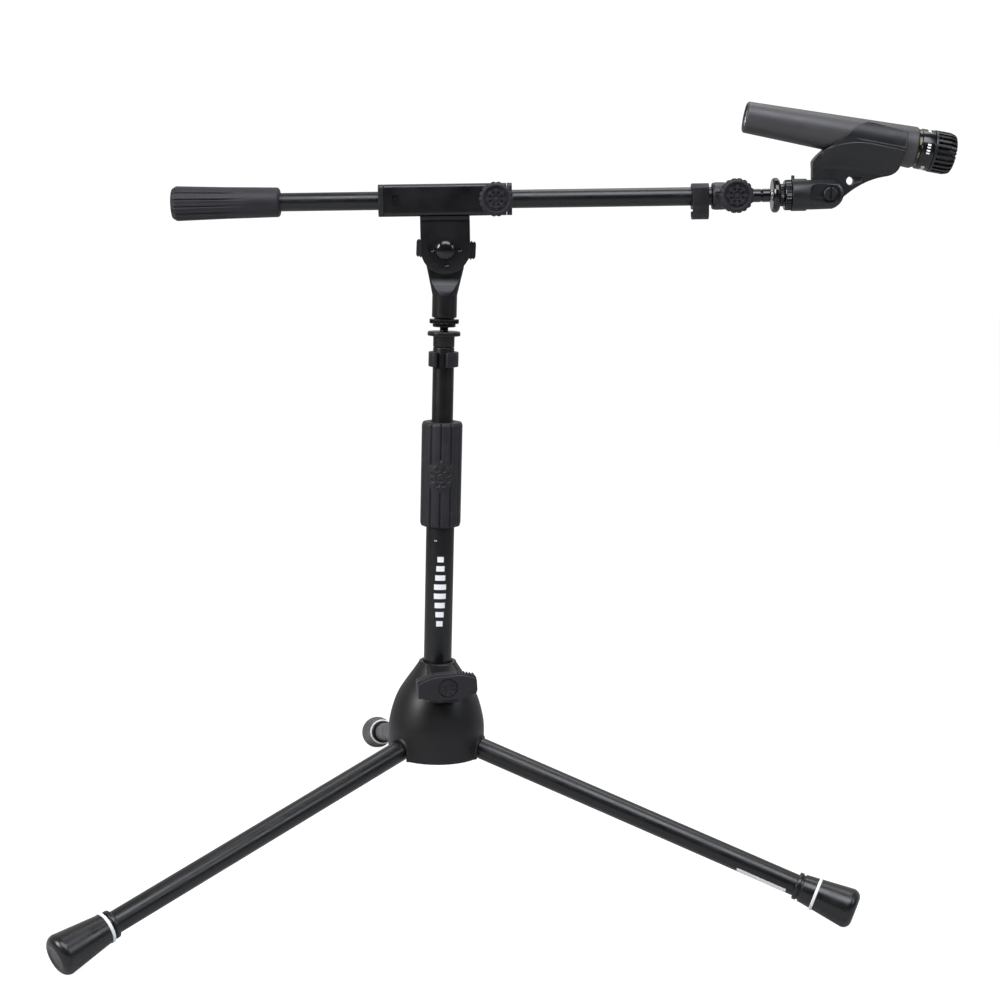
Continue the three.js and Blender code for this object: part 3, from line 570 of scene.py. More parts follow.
def badge(radius, depth, lift, drop, seat=None):
    """A round badge about Z with its relief sunk by depth. seat(x, y) is the height
    under it, and it goes on down to drop below."""
    rings = 60
    seat = seat or (lambda x, y: 0.0)
    outline = [(0, 0)] + [(radius * k / rings, 0) for k in range(1, rings + 1)]
    points, faces = lathe(outline + [(radius, -1), (0, -1)], 192)
    shaped = []
    for x, y, z in points:
        if z < 0:
            shaped.append((x, y, -drop))
            continue
        share = math.hypot(x, y) / radius
        edge = 1 - smooth_step(0.94, 1.0, share)
        relief = depth * medallion_depth(share, math.atan2(y, x))
        shaped.append((x, y, seat(x, y) + lift * edge - relief))
    return shaped, faces


def show_badge(node, where, radius, *relief):
    """A badge on a node's piece, with its sunk relief given a darker finish as painted shade in the recesses."""
    mark = solid(badge(radius, *relief), where)
    show(mark, node, name=f"{node}_badge", body=BODY_OF[node], sharp=50)
    # The sunk faces take the darker finish: painted shade where the recesses fall dark.
    mark.data.materials.append(FINISHES["grille_black"])
    for polygon in mark.data.polygons:
        x, y, _ = polygon.center / MM
        share = math.hypot(x, y) / radius
        polygon.material_index = int(medallion_depth(share, math.atan2(y, x)) > 0.6)


def wing_outline(half_length, half_height, end_half, teeth=0.0):
    """A wing knob from the front: bowed above and below, with teeth out on the wings."""
    shoulder = end_half + 0.74 * (half_height - end_half)
    upper = [(half_length, end_half, 2.4), (0.5 * half_length, shoulder, 30),
             (-0.5 * half_length, shoulder, 30), (-half_length, end_half, 2.4)]
    whole = upper + [(-x, -y, radius) for x, y, radius in upper]
    made = []
    for x, y in fine(loop(whole, steps=8), 0.25, closed=True):
        on_wing = smooth_step(7.4, 8.4, abs(x))
        on_wing *= 1 - smooth_step(half_length - 2.4, half_length - 1.4, abs(x))
        on_wing *= abs(y) > end_half - 0.6
        groove = smooth_step(-0.5, 0.3, math.cos(x * TURN / 2.2))
        made.append((x, y - math.copysign(teeth * on_wing * groove, y)))
    return made


def make_wing_knob(node, where, back, front, size, badge_radius, hole):
    """A wing knob about Z: a body with ribbed rims behind a smooth front plate."""
    half_length, half_height, end_half = size
    ribbed = solid(prism(wing_outline(half_length, half_height, end_half, 1.0),
                         back, front - 2.4), where)
    plate = solid(prism(wing_outline(half_length, half_height - 0.1, end_half - 1.5),
                        front - 3.4, front, rim=0.8), where)
    joined(ribbed, [plate])
    cutters = [rod(where, hole[0], back - 1, back + hole[1]),
               rod(where, badge_radius + 0.25, front - 1.3, front + 1, 96)]
    cut(ribbed, cutters)
    show(ribbed, node, sharp=38)
    show_badge(node, shifted(where, z=front), badge_radius, 0.8, 0.1, 2.0)


def make_base_knob():
    where = knob_station("base_knob_turn", 4.5)
    turn_x, turn_y, _ = JOINTS["base_knob_turn"]["pos_m"]
    joint_out = math.hypot(turn_x - shaft_x, turn_y - shaft_y) / MM
    back, front = 34.8 - joint_out, 46.5 - joint_out
    make_wing_knob("base_knob", where, back, front, (22.2, 10.6, 6.6), 7.0, (3.6, 7.5))


# ---- legs ----
FOOT_START = 293.8
FOOT_LENGTH = 45.6
FOOT_NECK_R = 10.2
FOOT_END_R = 14.5
FOOT_ROUND = 6.0
FOOT_BORE_DEPTH = 24.5
RING_OFFSETS = (6, 6, 15.4)


def make_legs():
    bore = LEG_R + GAP
    body_start = 4.6
    foot = rounded([
        (0, FOOT_BORE_DEPTH), (bore, FOOT_BORE_DEPTH), (bore, 0), (FOOT_NECK_R, 0, 0.9),
        (FOOT_NECK_R, 3.0, 0.6), (9.2, 3.4), (9.2, 4.4), (FOOT_NECK_R, body_start + 0.2, 0.5),
        (FOOT_END_R, FOOT_LENGTH - FOOT_ROUND),
    ])
    end_round = arc(FOOT_END_R - FOOT_ROUND, FOOT_LENGTH - FOOT_ROUND, FOOT_ROUND, 0, 84, 14)
    dished = [(7.6, FOOT_LENGTH - 0.3), (6.6, FOOT_LENGTH - 0.8), (0, FOOT_LENGTH - 0.8)]
    foot = fine(foot + end_round[1:] + dished, 1.2)
    for number, offset in enumerate(RING_OFFSETS, 1):
        where = leg_station(number) @ ALONG_X
        tube = loop([
            (LEG_BORE_R, 36), (LEG_R, 36, 0.5), (LEG_R, 318), (LEG_BORE_R, 318),
        ])
        turned(f"leg_tube_{number}", tube, where)
        feet = solid(lathe(foot, 128), shifted(where, z=FOOT_START))
        rest_on_floor(feet)
        show(feet, f"leg_foot_{number}", sharp=50)
        slope = (FOOT_END_R - FOOT_NECK_R) / (FOOT_LENGTH - FOOT_ROUND - body_start)
        inner = FOOT_NECK_R + (offset - body_start) * slope - 0.3
        trim = loop([
            (inner, -1.1), (inner + 1.15, -1.1, 0.5), (inner + 1.15, 1.1, 0.5), (inner, 1.1),
        ])
        turned(f"leg_ring_{number}", trim, shifted(where, z=FOOT_START + offset), 128)
        make_heel(number)
    label()


def rest_on_floor(foot):
    """Flattens what would sink below the floor into the pad that the foot stands on."""
    place = foot.matrix_world
    back = place.inverted()
    for vertex in foot.data.vertices:
        spot = place @ vertex.co
        if spot.z < 0:
            spot.z = 0
            vertex.co = back @ spot


def make_heel(number):
    reach = LEG_PIN_RADIUS / math.cos(LEG_SLOPE)
    where = leg_station(number)
    eye = solid(lathe(rounded([
        (0, -7.1), (2.6, -7.1, 0.5), (5.2, -5.4, 2), (7.2, -2.6, 2), (7.2, 2.6, 2), (5.2, 5.4, 2),
        (2.6, 7.1, 0.5), (0, 7.1),
    ]), 64), shifted(where, x=reach) @ TO_FRONT)
    neck = rod(where @ ALONG_X, 6.4, reach, 60, 64)
    hole = rod(shifted(where, x=reach) @ TO_FRONT, PIN_BORE_R, -20, 20, 32)
    joined(eye, [neck])
    cut(eye, [hole])
    show(eye, f"leg_heel_{number}")


def wrapped(radius, thickness, low, high, start, end, steps=12):
    """A thin patch round Z between two heights and two angles in degrees."""
    outer = arc(0, 0, radius + thickness, start, end, steps)
    inner = arc(0, 0, radius, end, start, steps)
    return prism(outer + inner, low, high)


def label():
    """A blank paper label on the underside of the right leg."""
    paper = solid(wrapped(LEG_R + 0.02, 0.12, 250.5, 288.5, -68, 22), leg_station(3) @ ALONG_X)
    show(paper, "leg_tube_3", slot="ring_white", name="leg_label")


# ---- shaft ----
def make_shaft():
    tube = loop([(9.4, -12), (10.6, -12, 0.5), (10.6, 176, 0.4), (9.4, 176)])
    turned("lower_tube", tube, SHAFT, 128)
    level_marks()
    make_clutch_grip()
    upper = loop([(LEG_BORE_R, 50), (LEG_R, 50, 0.4), (LEG_R, 293.3, 0.5), (LEG_BORE_R, 293.3)])
    turned("upper_tube", upper, SHAFT)
    cap = loop([
        (3.6, 279), (6.39, 279), (6.39, 293.6), (LEG_R, 293.6, 0.5), (LEG_R, 301.8, 0.3),
        (12.2, 301.8, 0.6), (12.2, 305.1, 0.9), (3.6, 305.1, 0.3),
    ])
    turned("stem_cap", cap, SHAFT, 128)
    turned("stem_stud", thread_outline(3.3, 282, 325), SHAFT, 48, slot="gloss_black",
           bend=thread_bend(1.27, 0.35))
    make_lock_ring()
    make_shaft_clip()


def thread_outline(radius, low, high):
    return fine([(0, low), (radius, low), (radius, high), (0, high)], 0.25)


def thread_bend(pitch, depth):
    def bend(r, z, angle):
        wave = abs(((z / pitch - angle / TURN) % 1) * 2 - 1)
        return (r - depth * wave if r > 2 else r), z
    return bend


MARK_R = 10.61
MARK_THICKNESS = 0.05
LEVEL_WIDTHS = (26, 34, 42, 50, 50, 42, 34, 26)


def level_marks():
    """White bars printed one above the other on the front of the lower tube."""
    low, high = 83.0, 139.5
    pitch = (high - low) / len(LEVEL_WIDTHS)
    points, faces = [], []
    for k, width in enumerate(LEVEL_WIDTHS):
        base = low + k * pitch
        patch = wrapped(MARK_R, MARK_THICKNESS, base, base + 0.58 * pitch,
                        276 - width / 2, 276 + width / 2)
        faces += [[index + len(points) for index in face] for face in patch[1]]
        points += patch[0]
    show(solid((points, faces), SHAFT), "lower_tube", slot="ring_white", name="lower_tube_bars")
    ticks = solid(wrapped(MARK_R, MARK_THICKNESS, 148.2, 149.2, 250, 253), SHAFT)
    second = solid(wrapped(MARK_R, MARK_THICKNESS, 148.2, 149.2, 257, 259), SHAFT)
    joined(ticks, [second])
    show(ticks, "lower_tube", slot="ring_white", name="lower_tube_ticks")


CLUTCH_R = 15.3
CLUTCH_LOW = 159.1
CLUTCH_HIGH = 237.7
BADGE_HEIGHT = 197.6


def make_clutch_grip():
    low, high = CLUTCH_LOW, CLUTCH_HIGH
    outline = loop([
        (12.9, low), (14.6, low, 0.8), (CLUTCH_R, low + 2.6, 1.8), (CLUTCH_R, high - 2.2, 1.6),
        (14.4, high, 0.8), (8.6, high, 0.4), (8.6, 224), (10.8, 222.4), (12.9, 206.4),
    ])
    outline = fine(outline, 1.0, closed=True)
    grooves = 12

    def bend(r, z, angle):
        if r < 13.5:
            return r, z
        groove = bell(share_of_turn(angle, grooves, 0.5) / 0.085)
        around = math.degrees(angle)
        off_badge = math.hypot((around - 270) * math.pi / 180 * CLUTCH_R, z - BADGE_HEIGHT)
        keep = smooth_step(11.2, 12.4, off_badge)
        return r - 1.2 * groove * keep, z

    turned("clutch_grip", outline, SHAFT, 288, bend=bend, sharp=45)
    front = SHAFT @ Matrix.Translation((0, 0, BADGE_HEIGHT * MM)) @ TO_FRONT

    def seat(x, y):
        return math.sqrt(CLUTCH_R ** 2 - min(x * x, 150))

    show_badge("clutch_grip", front, 10.2, 0.5, 0.55, -10.5, seat)


def knurl(count, depth, low, high):
    """A straight knurl on the rim between two heights."""
    def bend(r, z, angle):
        inside = smooth_step(low - 0.2, low + 0.2, z) * (1 - smooth_step(high - 0.2, high + 0.2, z))
        wave = abs((angle / TURN * count) % 1 * 2 - 1)
        return r - depth * wave * inside * (r > 7), z
    return bend


def make_lock_ring():
    outline = loop([
        (3.6, 308.4), (8.5, 308.4, 0.5), (8.5, 311), (10.9, 311, 0.4), (10.9, 314.2, 0.4),
        (7.5, 314.2), (7.5, 315.1), (3.6, 315.1),
    ])
    outline = fine(outline, 0.5, closed=True)
    turned("lock_ring", outline, SHAFT, 288, bend=knurl(48, 0.35, 311.2, 314))


def make_shaft_clip():
    inner, outer = 8.24, 11.2
    turn = -8
    half = 24
    start, end = 270 + turn + half, 630 + turn - half
    ring = arc(0, 0, outer, start, end, 48) + arc(0, 0, inner, end, start, 48)
    clip = solid(prism(ring, 279, 290, rim=0.5), SHAFT)
    lugs = []
    for side in (-1, 1):
        angle = math.radians(270 + turn + side * (half + 6))
        middle = (inner + outer) / 2 + 0.6
        spot = (middle * math.cos(angle), middle * math.sin(angle))
        lugs.append(solid(lathe(rounded([
            (0, 279), (2.0, 279, 0.5), (2.0, 290, 0.5), (0, 290)]), 32), shifted(SHAFT, *spot)))
    joined(clip, lugs)
    show(clip, "shaft_cable_clip")


YOKE_BOTTOM = 315.4
YOKE_R = 9.2
PIVOT_Z = 365.3


def make_yoke():
    """A round socket that swells into a flat tang, with a scoop in front and behind."""
    socket = rounded([(0, YOKE_BOTTOM), (YOKE_R, YOKE_BOTTOM, 0.7), (YOKE_R, 333), (0, 333)])
    body = solid(lathe(fine(socket, 1.0), 96), SHAFT)
    flare = [(9.2, 332), *curve((9.2, 332), (11.3, 341.5), (13.7, 352)), (13.9, 358)]
    sections = []
    for half, z in fine(flare, 1.2):
        around = (TURN * k / 96 for k in range(96))
        sections.append([(half * math.cos(t), YOKE_R * math.sin(t), z) for t in around])
    swell = solid(loft(sections), SHAFT)
    disc = solid(prism([(13.7, 352), *arc(0, PIVOT_Z, 15.5, -27, 207, 48), (-13.7, 352)], -3.5, 3.5),
                 SHAFT @ TO_FRONT)
    joined(body, [swell, disc])
    cutters = []
    for side in (1, -1):
        hollow = [(3.5, 400), *curve((3.5, 346), (3.5, 343.5), (5.6, 339.6), 8), (7.6, 335.2),
                  (9.2, 331.2), (30, 284), (30, 400)]
        cutters.append(solid(loft([
            [(x, -side * y, z) for y, z in hollow] for x in (-30, 30)]), SHAFT))
    cutters.append(rod(SHAFT, 3.6, 300, 326))
    cutters.append(rod(shifted(SHAFT, z=PIVOT_Z) @ TO_FRONT, 3.7, -20, 20))
    cut(body, cutters)
    bevelled(body, 0.35, angle=30, segments=2)
    show(body, "tilt_yoke", sharp=30)


# ---- boom head ----
BRACKET_R = 18.1
CHEEK_OUTER = 7.4
SLEEVE_HALF_HEIGHT = 11.7
SLEEVE_HALF_DEPTH = 10.0
BOOM_BORE_R = 7.0
KNOB_SCREW_BORE_R = 3.3


def make_bracket():
    top = BOOM_RISE - SLEEVE_HALF_HEIGHT - 0.02
    cheek = [(BRACKET_R, top), (-BRACKET_R, top), *arc(0, 0, BRACKET_R, 180, 360, 48)]
    block = solid(prism(cheek, -CHEEK_OUTER, CHEEK_OUTER, rim=0.45), HEAD @ TO_FRONT)
    # The shoulder stands out in front only: behind, the wings of the tilt knob pass by.
    shoulder = loop([
        (-9.4, top), (-9.2, top - 2.6, 0.8), (-6, top - 3.2), (6, top - 3.2), (7.3, top - 2.8, 0.3),
        (7.3, top),
    ])
    saddle = solid(prism([(y, z) for y, z in shoulder], -BRACKET_R + 0.2, BRACKET_R - 0.2),
                   HEAD @ Matrix.Rotation(math.pi / 2, 4, "Z") @ TO_FRONT)
    joined(block, [saddle])
    cutters = [solid(box((-30, 30), (-4.9, 4.9), (-40, top - 3)), HEAD),
               rod(HEAD @ TO_FRONT, 3.7, -20, 20)]
    dent = ((0, -1.1), (0.5, -1.1), (0.9, -1.6), (1.5, -1.3), (2.4, 0.3), (2.4, 3), (0, 3))
    dimple = [(r, CHEEK_OUTER + rise) for r, rise in dent]
    for x, z in ((-9.7, 0), (10.5, 0), (0.5, -11)):
        cutters.append(solid(lathe(dimple, 32), shifted(HEAD, x=x, z=z) @ TO_FRONT))
    cut(block, cutters)
    show(block, "tilt_bracket", sharp=30)

    for node, side in (("friction_disc_front", 1), ("friction_disc_back", -1)):
        disc = loop([(3.8, 3.8), (14, 3.8, 0.2), (14, 4.6, 0.2), (3.8, 4.6)])
        disc = [(r, side * z) for r, z in disc]
        turned(node, disc, HEAD @ TO_FRONT)

    dome_top = [(7.35 * math.cos(t), 7.9 + 3.6 * math.sin(t))
                for t in (math.pi / 2 * k / 14 for k in range(15))]
    bolt = [(0, -16.5), (3.2, -16.5), (3.2, 7.7), (7.2, 7.7), *dome_top[:-1], (0, 11.5)]
    turned("tilt_bolt", bolt, HEAD @ TO_FRONT, 128)


def make_tilt_knob():
    where = HEAD @ TO_FRONT.inverted() @ Matrix.Rotation(math.radians(3.5), 4, "Z")
    make_wing_knob("tilt_knob", where, CHEEK_OUTER + GAP, 19.5, (22, 8.6, 6.4), 6.2, (3.5, 9.1))


def sleeve_section(grow=0.0, corner=3.0):
    y, z = SLEEVE_HALF_DEPTH + grow, SLEEVE_HALF_HEIGHT + grow
    return loop([(y, -z, corner), (y, z, corner), (-y, z, corner), (-y, -z, corner)], steps=8)


# Draws an outline of (y, z) points along X.
ACROSS = Matrix(((0, 0, 1, 0), (1, 0, 0, 0), (0, 1, 0, 0), (0, 0, 0, 1)))


def make_sleeve():
    sleeve = solid(prism(sleeve_section(), -43.9, 45.3), BOOM @ ACROSS)
    window = loop([(-2.4, -3.6, 0.8), (2.4, -3.6, 0.8), (2.4, 3.8, 0.8), (-2.4, 3.8, 0.8)])
    cutters = [
        rod(BOOM_LINE, BOOM_BORE_R, -60, 60, 64),
        rod(shifted(BOOM, x=37.9) @ TO_FRONT, KNOB_SCREW_BORE_R, 3, 20),
        solid(prism(window, SLEEVE_HALF_DEPTH - 1.2, 14), shifted(BOOM, x=-35.6) @ TO_FRONT),
    ]
    cut(sleeve, cutters)
    show(sleeve, "boom_sleeve", sharp=25)
    for node, start, end in (("sleeve_cap_left", -48.3, -44.2), ("sleeve_cap_right", 45.6, 49.4)):
        cap = solid(prism(sleeve_section(), start, end, rim=0.5), BOOM @ ACROSS)
        cut(cap, [rod(BOOM_LINE, BOOM_BORE_R, start - 5, end + 5, 64)])
        show(cap, node, sharp=30)


def scallops(count, depth, radius):
    """Narrow notches round a rim, with broad lobes between them."""
    def bend(r, z, angle):
        notch = bell(share_of_turn(angle, count) / 0.2)
        return r - depth * smooth_step(radius - 2.4, radius - 0.6, r) * notch, z
    return bend


def make_round_knob(node, x, back, screw_from):
    """A round clamping knob: a notched rim, a sunk face and a badge on it."""
    face = back + 11.5
    radius = 12.6
    where = shifted(BOOM, x=x) @ TO_FRONT
    outline = rounded([
        (0, back), (9.6, back, 0.5), (10.6, back + 1.2, 1.2), (radius, back + 3.2, 1.6),
        (radius, face - 1.8, 1.6), (10.6, face, 1.0), (9.3, face, 0.3), (8.9, face - 1.2, 0.3),
        (0, face - 1.2),
    ])
    outline = fine(outline, 0.6)
    turned(node, outline, where, 360, bend=scallops(18, 0.75, radius), sharp=40)
    show_badge(node, shifted(where, z=face - 1.2 + 0.7), 7.6, 0.9, 0.5, 0.2)
    screw = rounded([(0, screw_from), (2.6, screw_from), (3, screw_from + 0.5), (3, back + 0.05),
                     (0, back + 0.05)])
    turned(f"{node}_screw", screw, where, 48)


# ---- boom ----
WEIGHT_START = -199.9
WEIGHT_END = -120.9
EXTENSION_KNOB_X = 211.8


def make_boom():
    tube = loop([(5.5, -149), (6.7, -149, 0.4), (6.7, 195.5, 0.4), (5.5, 195.5)])
    turned("boom_tube", tube, BOOM_LINE)
    flutes = 14

    def flute(r, z, angle):
        if r < 9.9:
            return r, z
        share = smooth_step(-142, -168, z)
        turn = share_of_turn(angle, flutes, 0.5)
        groove = bell(turn / 0.085) + 0.35 * (2 * turn) ** 2
        return r - 0.85 * share * groove, z

    grip = rounded([
        (0, WEIGHT_START), (10.9, WEIGHT_START, 1.4), (12.75, WEIGHT_START + 3.2, 3.0),
        (11.6, -160, 60), (10.75, WEIGHT_END - 1, 1.6), (9.2, WEIGHT_END, 0.6), (7, WEIGHT_END),
        (7, -149), (9.3, -149), (9.3, WEIGHT_START + 2.7), (0, WEIGHT_START + 2.7),
    ], steps=8)
    turned("counterweight_grip", fine(grip, 1.3), BOOM_LINE, 336, bend=flute, sharp=45)

    def ribs(r, z, angle):
        wave = bell(share_of_turn(angle, 12, 0.1) / 0.1)
        inside = smooth_step(196.8, 198, z) * (1 - smooth_step(203.5, 205, z))
        return r + 0.35 * wave * inside * (r > 9), z

    collar = loop([
        (5.15, 195.8), (9.3, 195.8, 0.4), (9.85, 197.4, 0.6), (9.85, 219.4, 2.5), (8.6, 222.5, 0.8),
        (5.15, 222.5),
    ])
    piece = solid(lathe(fine(collar, 0.7, closed=True), 288, ribs), BOOM_LINE)
    cut(piece, [rod(shifted(BOOM, x=EXTENSION_KNOB_X) @ TO_FRONT, KNOB_SCREW_BORE_R, 2, 20)])
    show(piece, "boom_collar", sharp=40)
    make_boom_clip()

    bar = rounded([
        (0, 30), (4.85, 30, 0.5), (4.85, 238.3, 0.5), (3.85, 238.3), (3.85, 218.3), (0, 218.3),
    ])

    def notch(r, z, angle):
        return r - 0.5 * bell((z - 232.2) / 0.55) * (r > 4.5), z

    turned("extension_rod", fine(bar, 0.5), BOOM_LINE, 64, bend=notch)
    stud = [(0, 218.6), (3.55, 218.6), (3.55, 238.6), (4.2, 238.6), (4.2, 262), (0, 262)]
    turned("rod_stud", fine(stud, 0.25), BOOM_LINE, 64, bend=thread_bend(0.95, 0.3))
    ring = loop([
        (4.5, 239.7), (11.6, 239.7, 1.0), (12.6, 241.2, 1.0), (12.6, 243.4, 0.8), (11.0, 244.9, 0.6),
        (8.2, 245.2), (8.2, 248.2, 0.4), (4.5, 248.2),
    ])
    turned("thumb_ring", fine(ring, 0.5, closed=True), BOOM_LINE, 256,
           bend=knurl(44, 0.4, 245.6, 248.4))


def make_boom_clip():
    half, near = 9.4, 9.4 - 3.0
    corners = [(-half, -near), (-half, near), (-near, half), (near, half),
               (half, near), (half, -near), (near, -half), (-near, -half)]
    band = loop([(y, z, 0.8) for y, z in corners], steps=3)
    clip = solid(prism(band, 181, 193, rim=0.5), BOOM @ ACROSS)
    hook_z = -12.1
    outline = [(-5, -8.6), (-9.35, -6.4), *arc(-4.7, hook_z, 4.65, 180, 270, 10),
               *arc(1.5, hook_z, 4.7, 270, 375, 12)]
    outline += [*arc(1.5, hook_z, 2.9, 375, 270, 10), *arc(-4.5, hook_z, 2.9, 270, 180, 8),
                (-7.4, -8.6)]
    hook = solid(prism(outline, 181, 193, rim=0.4), BOOM @ ACROSS)
    joined(clip, [hook])
    cut(clip, [rod(BOOM_LINE, BOOM_BORE_R, 170, 200, 64)])
    show(clip, "boom_cable_clip", sharp=30)


# ---- clip ----
SCREW_X = 281.2
SCREW_RISE = 0.4


def make_clip_base():
    at_screw = shifted(BOOM, x=SCREW_X, z=SCREW_RISE) @ TO_FRONT
    bore = 4.5
    adapter = loop([
        (bore, 248.6), (10.4, 248.6, 0.5), (11.1, 249.5, 0.5), (11.1, 253.3, 0.4), (7.6, 253.3),
        (7.6, 262.3), (bore, 262.3),
    ])
    turned("clip_adapter", fine(adapter, 0.5, closed=True), BOOM_LINE, 288,
           bend=knurl(64, 0.35, 249.3, 253.5), slot="gloss_black")

    radius = 11.7
    fork_x = SCREW_X - 1.8
    side = [(253.6, -radius), (266, -radius), *arc(fork_x, 0, 11, -86, 86, 32),
            (266, radius), (253.6, radius)]
    body = solid(lathe(rounded([
        (0, 253.6), (radius, 253.6, 0.8), (radius, 268), (radius - 0.5, 292, 0.4), (0, 292)]), 96),
        BOOM_LINE)
    combined(body, [solid(prism(side, -20, 20), BOOM @ TO_FRONT)], "INTERSECT")
    nub = solid(lathe(rounded([(0, 10.5), (1.25, 10.5), (1.25, 14.2, 0.9), (0, 14.2)]), 24),
                shifted(BOOM, x=255))
    joined(body, [nub])
    pocket_shape = loop([
        (266.2, -6.2, 4.5), (276, -6.8, 3), (287.6, -5.6, 5.4), (288.4, 0.4, 5), (287.6, 6.4, 5.4),
        (276, 7.6, 3), (266.2, 7.4, 4.5),
    ], steps=6)
    cutters = [
        rod(BOOM_LINE, 7.9, 250, 262.6, 64),
        solid(box((264.6, 300), (-4.6, 4.6), (-20, 20)), BOOM),
        rod(at_screw, PIN_BORE_R, -20, 20),
    ]
    for side_turn in (TO_FRONT, TO_FRONT.inverted()):
        flat = prism(pocket_shape if side_turn is TO_FRONT else [(x, -z) for x, z in pocket_shape],
                     8.0, 16)
        cutters.append(solid(flat, BOOM @ side_turn))
    cut(body, cutters)
    bevelled(body, 0.35, angle=40, segments=2)
    show(body, "clip_base", sharp=32)

    head = 8.6
    screw = solid(lathe(rounded([
        (0, -8.4), (2.2, -8.4), (2.2, head), (5.0, head), (5.0, head + 1.2, 0.5), (4.2, head + 1.7, 0.8),
        (0, head + 1.7)]), 64), at_screw)
    slot = solid(box((-0.65, 0.65), (-8, 8), (head + 0.5, head + 4)),
                 at_screw)
    cut(screw, [slot])
    show(screw, "clip_screw", slot="nylon_black", sharp=32)


MIC_HANDLE_LENGTH = 126.2
MIC_REAR_R = 11.3
MIC_FRONT_R = 15.0
MIC_RING_END = 138.2
MIC_LENGTH = 155.7


def handle_radius(along):
    return MIC_REAR_R + (MIC_FRONT_R - MIC_REAR_R) * along / MIC_HANDLE_LENGTH


def round_handle(start, end, grow):
    """A stretch of the microphone's handle, grown all round."""
    return lathe([(0, start), (handle_radius(start) + grow, start),
                  (handle_radius(end) + grow, end), (0, end)], 128)


def from_head(x, z):
    """A point of the head's side view as it lies along and above the microphone's axis."""
    spot = MIC.inverted() @ HEAD @ (Vector((x, 0, z)) * MM)
    return spot.x / MM, spot.z / MM


def make_holder():
    wall = 2.4
    start, end = 42, 126
    wrap = solid(round_handle(start, end, wall), MIC @ ALONG_X)
    sections = []
    for k in range(44):
        x = start + (end - start) * k / 43
        outer = handle_radius(x) + wall
        rear, front = max(0, 91 - x), max(0, x - 91)
        arch_z = -3.6 - 0.0102 * rear ** 2 - 0.0012 * front ** 2
        waist_z = min(arch_z - 7, -23.2 - 0.0051 * max(0, 84 - x) ** 2)
        top = math.sqrt(max(42.0, outer ** 2 - arch_z ** 2)) + 0.6
        half = [(top - 2, arch_z + 0.2), (top, arch_z - 0.3),
                (0.5 * (top + 4.3) + 0.8, 0.5 * (arch_z + waist_z)), (5.4, waist_z + 1.4),
                (4.3, waist_z - 1.2), (4.3, -75)]
        section = [(x, -y, z) for y, z in half] + [(x, y, z) for y, z in reversed(half)]
        sections.append(section)
    joined(wrap, [solid(loft(sections), MIC)])

    screw = from_head(SCREW_X, BOOM_RISE + SCREW_RISE)
    corners = ((304.4, 86.9), (307.9, 87.6), (335.9, 80.0), (333.5, 65.4), (331, 54.1))
    outline = [from_head(*corner) for corner in corners]

    def swept(pull, end_spot, steps):
        return curve(outline[-1], from_head(*pull), from_head(*end_spot), steps)

    outline += swept((329, 49), (321.5, 48.2), 8)
    outline += swept((304, 45.8), (288.8, 31.5), 10)
    tilt = math.degrees(math.asin(-JOINTS["mic_slide"]["axis"][2]) + math.asin(boom_axis.z))
    outline += arc(*screw, 9.6, tilt - 30, tilt - 180, 24)
    outline += [from_head(268.6, 48), from_head(268.6, 59.8)]
    outline += swept((271, 64), (277.6, 68.8), 6)
    outline += swept((286.2, 73.2), (293.2, 79.8), 8)
    outline += swept((299.6, 85.8), corners[0], 6)[:-1]
    combined(wrap, [solid(prism(outline, -30, 30), MIC @ TO_FRONT)], "INTERSECT")

    ear_dent = loop([(-2.6, -1.6, 1.2), (4.4, -0.4, 1.2), (4.6, 3.0, 1.2), (-2, 2.8, 1.2)])
    cutters = [
        solid(round_handle(start - 10, end + 5, GAP), MIC @ ALONG_X),
        solid(box((-20, 180), (-7.5, 7.5), (0, 40)), MIC),
        rod(shifted(MIC, x=screw[0], z=screw[1]) @ TO_FRONT, PIN_BORE_R, -30, 30),
        solid(prism(arc(0, 0, 3.0, 0, 330, 24), -30, 30), shifted(HEAD, x=296.4, z=45.6) @ TO_FRONT),
        solid(prism(ear_dent, 2.6, 20), shifted(HEAD, x=300.4, z=45.4) @ TO_FRONT),
        frame_panel(1, wall), frame_panel(-1, wall),
    ]
    cut(wrap, cutters)
    melted(wrap, 0.34, 2)
    show(wrap, "clip_holder", sharp=60)


def frame_panel(side, wall):
    """The plain panel in the side of the clip: it sinks in gently from the rear, and
    ends in a raised border at the front."""
    sections = []
    for x, sunk in ((72, -0.1), (92, 0.7), (116.6, 0.9)):
        outer = handle_radius(x) + wall
        panel = arc(0, 0, outer - sunk, -7, 42, 12) + arc(0, 0, outer + 3, 42, -7, 12)
        sections.append([(x, side * y, z) for y, z in panel])
    return solid(loft(sections), MIC)


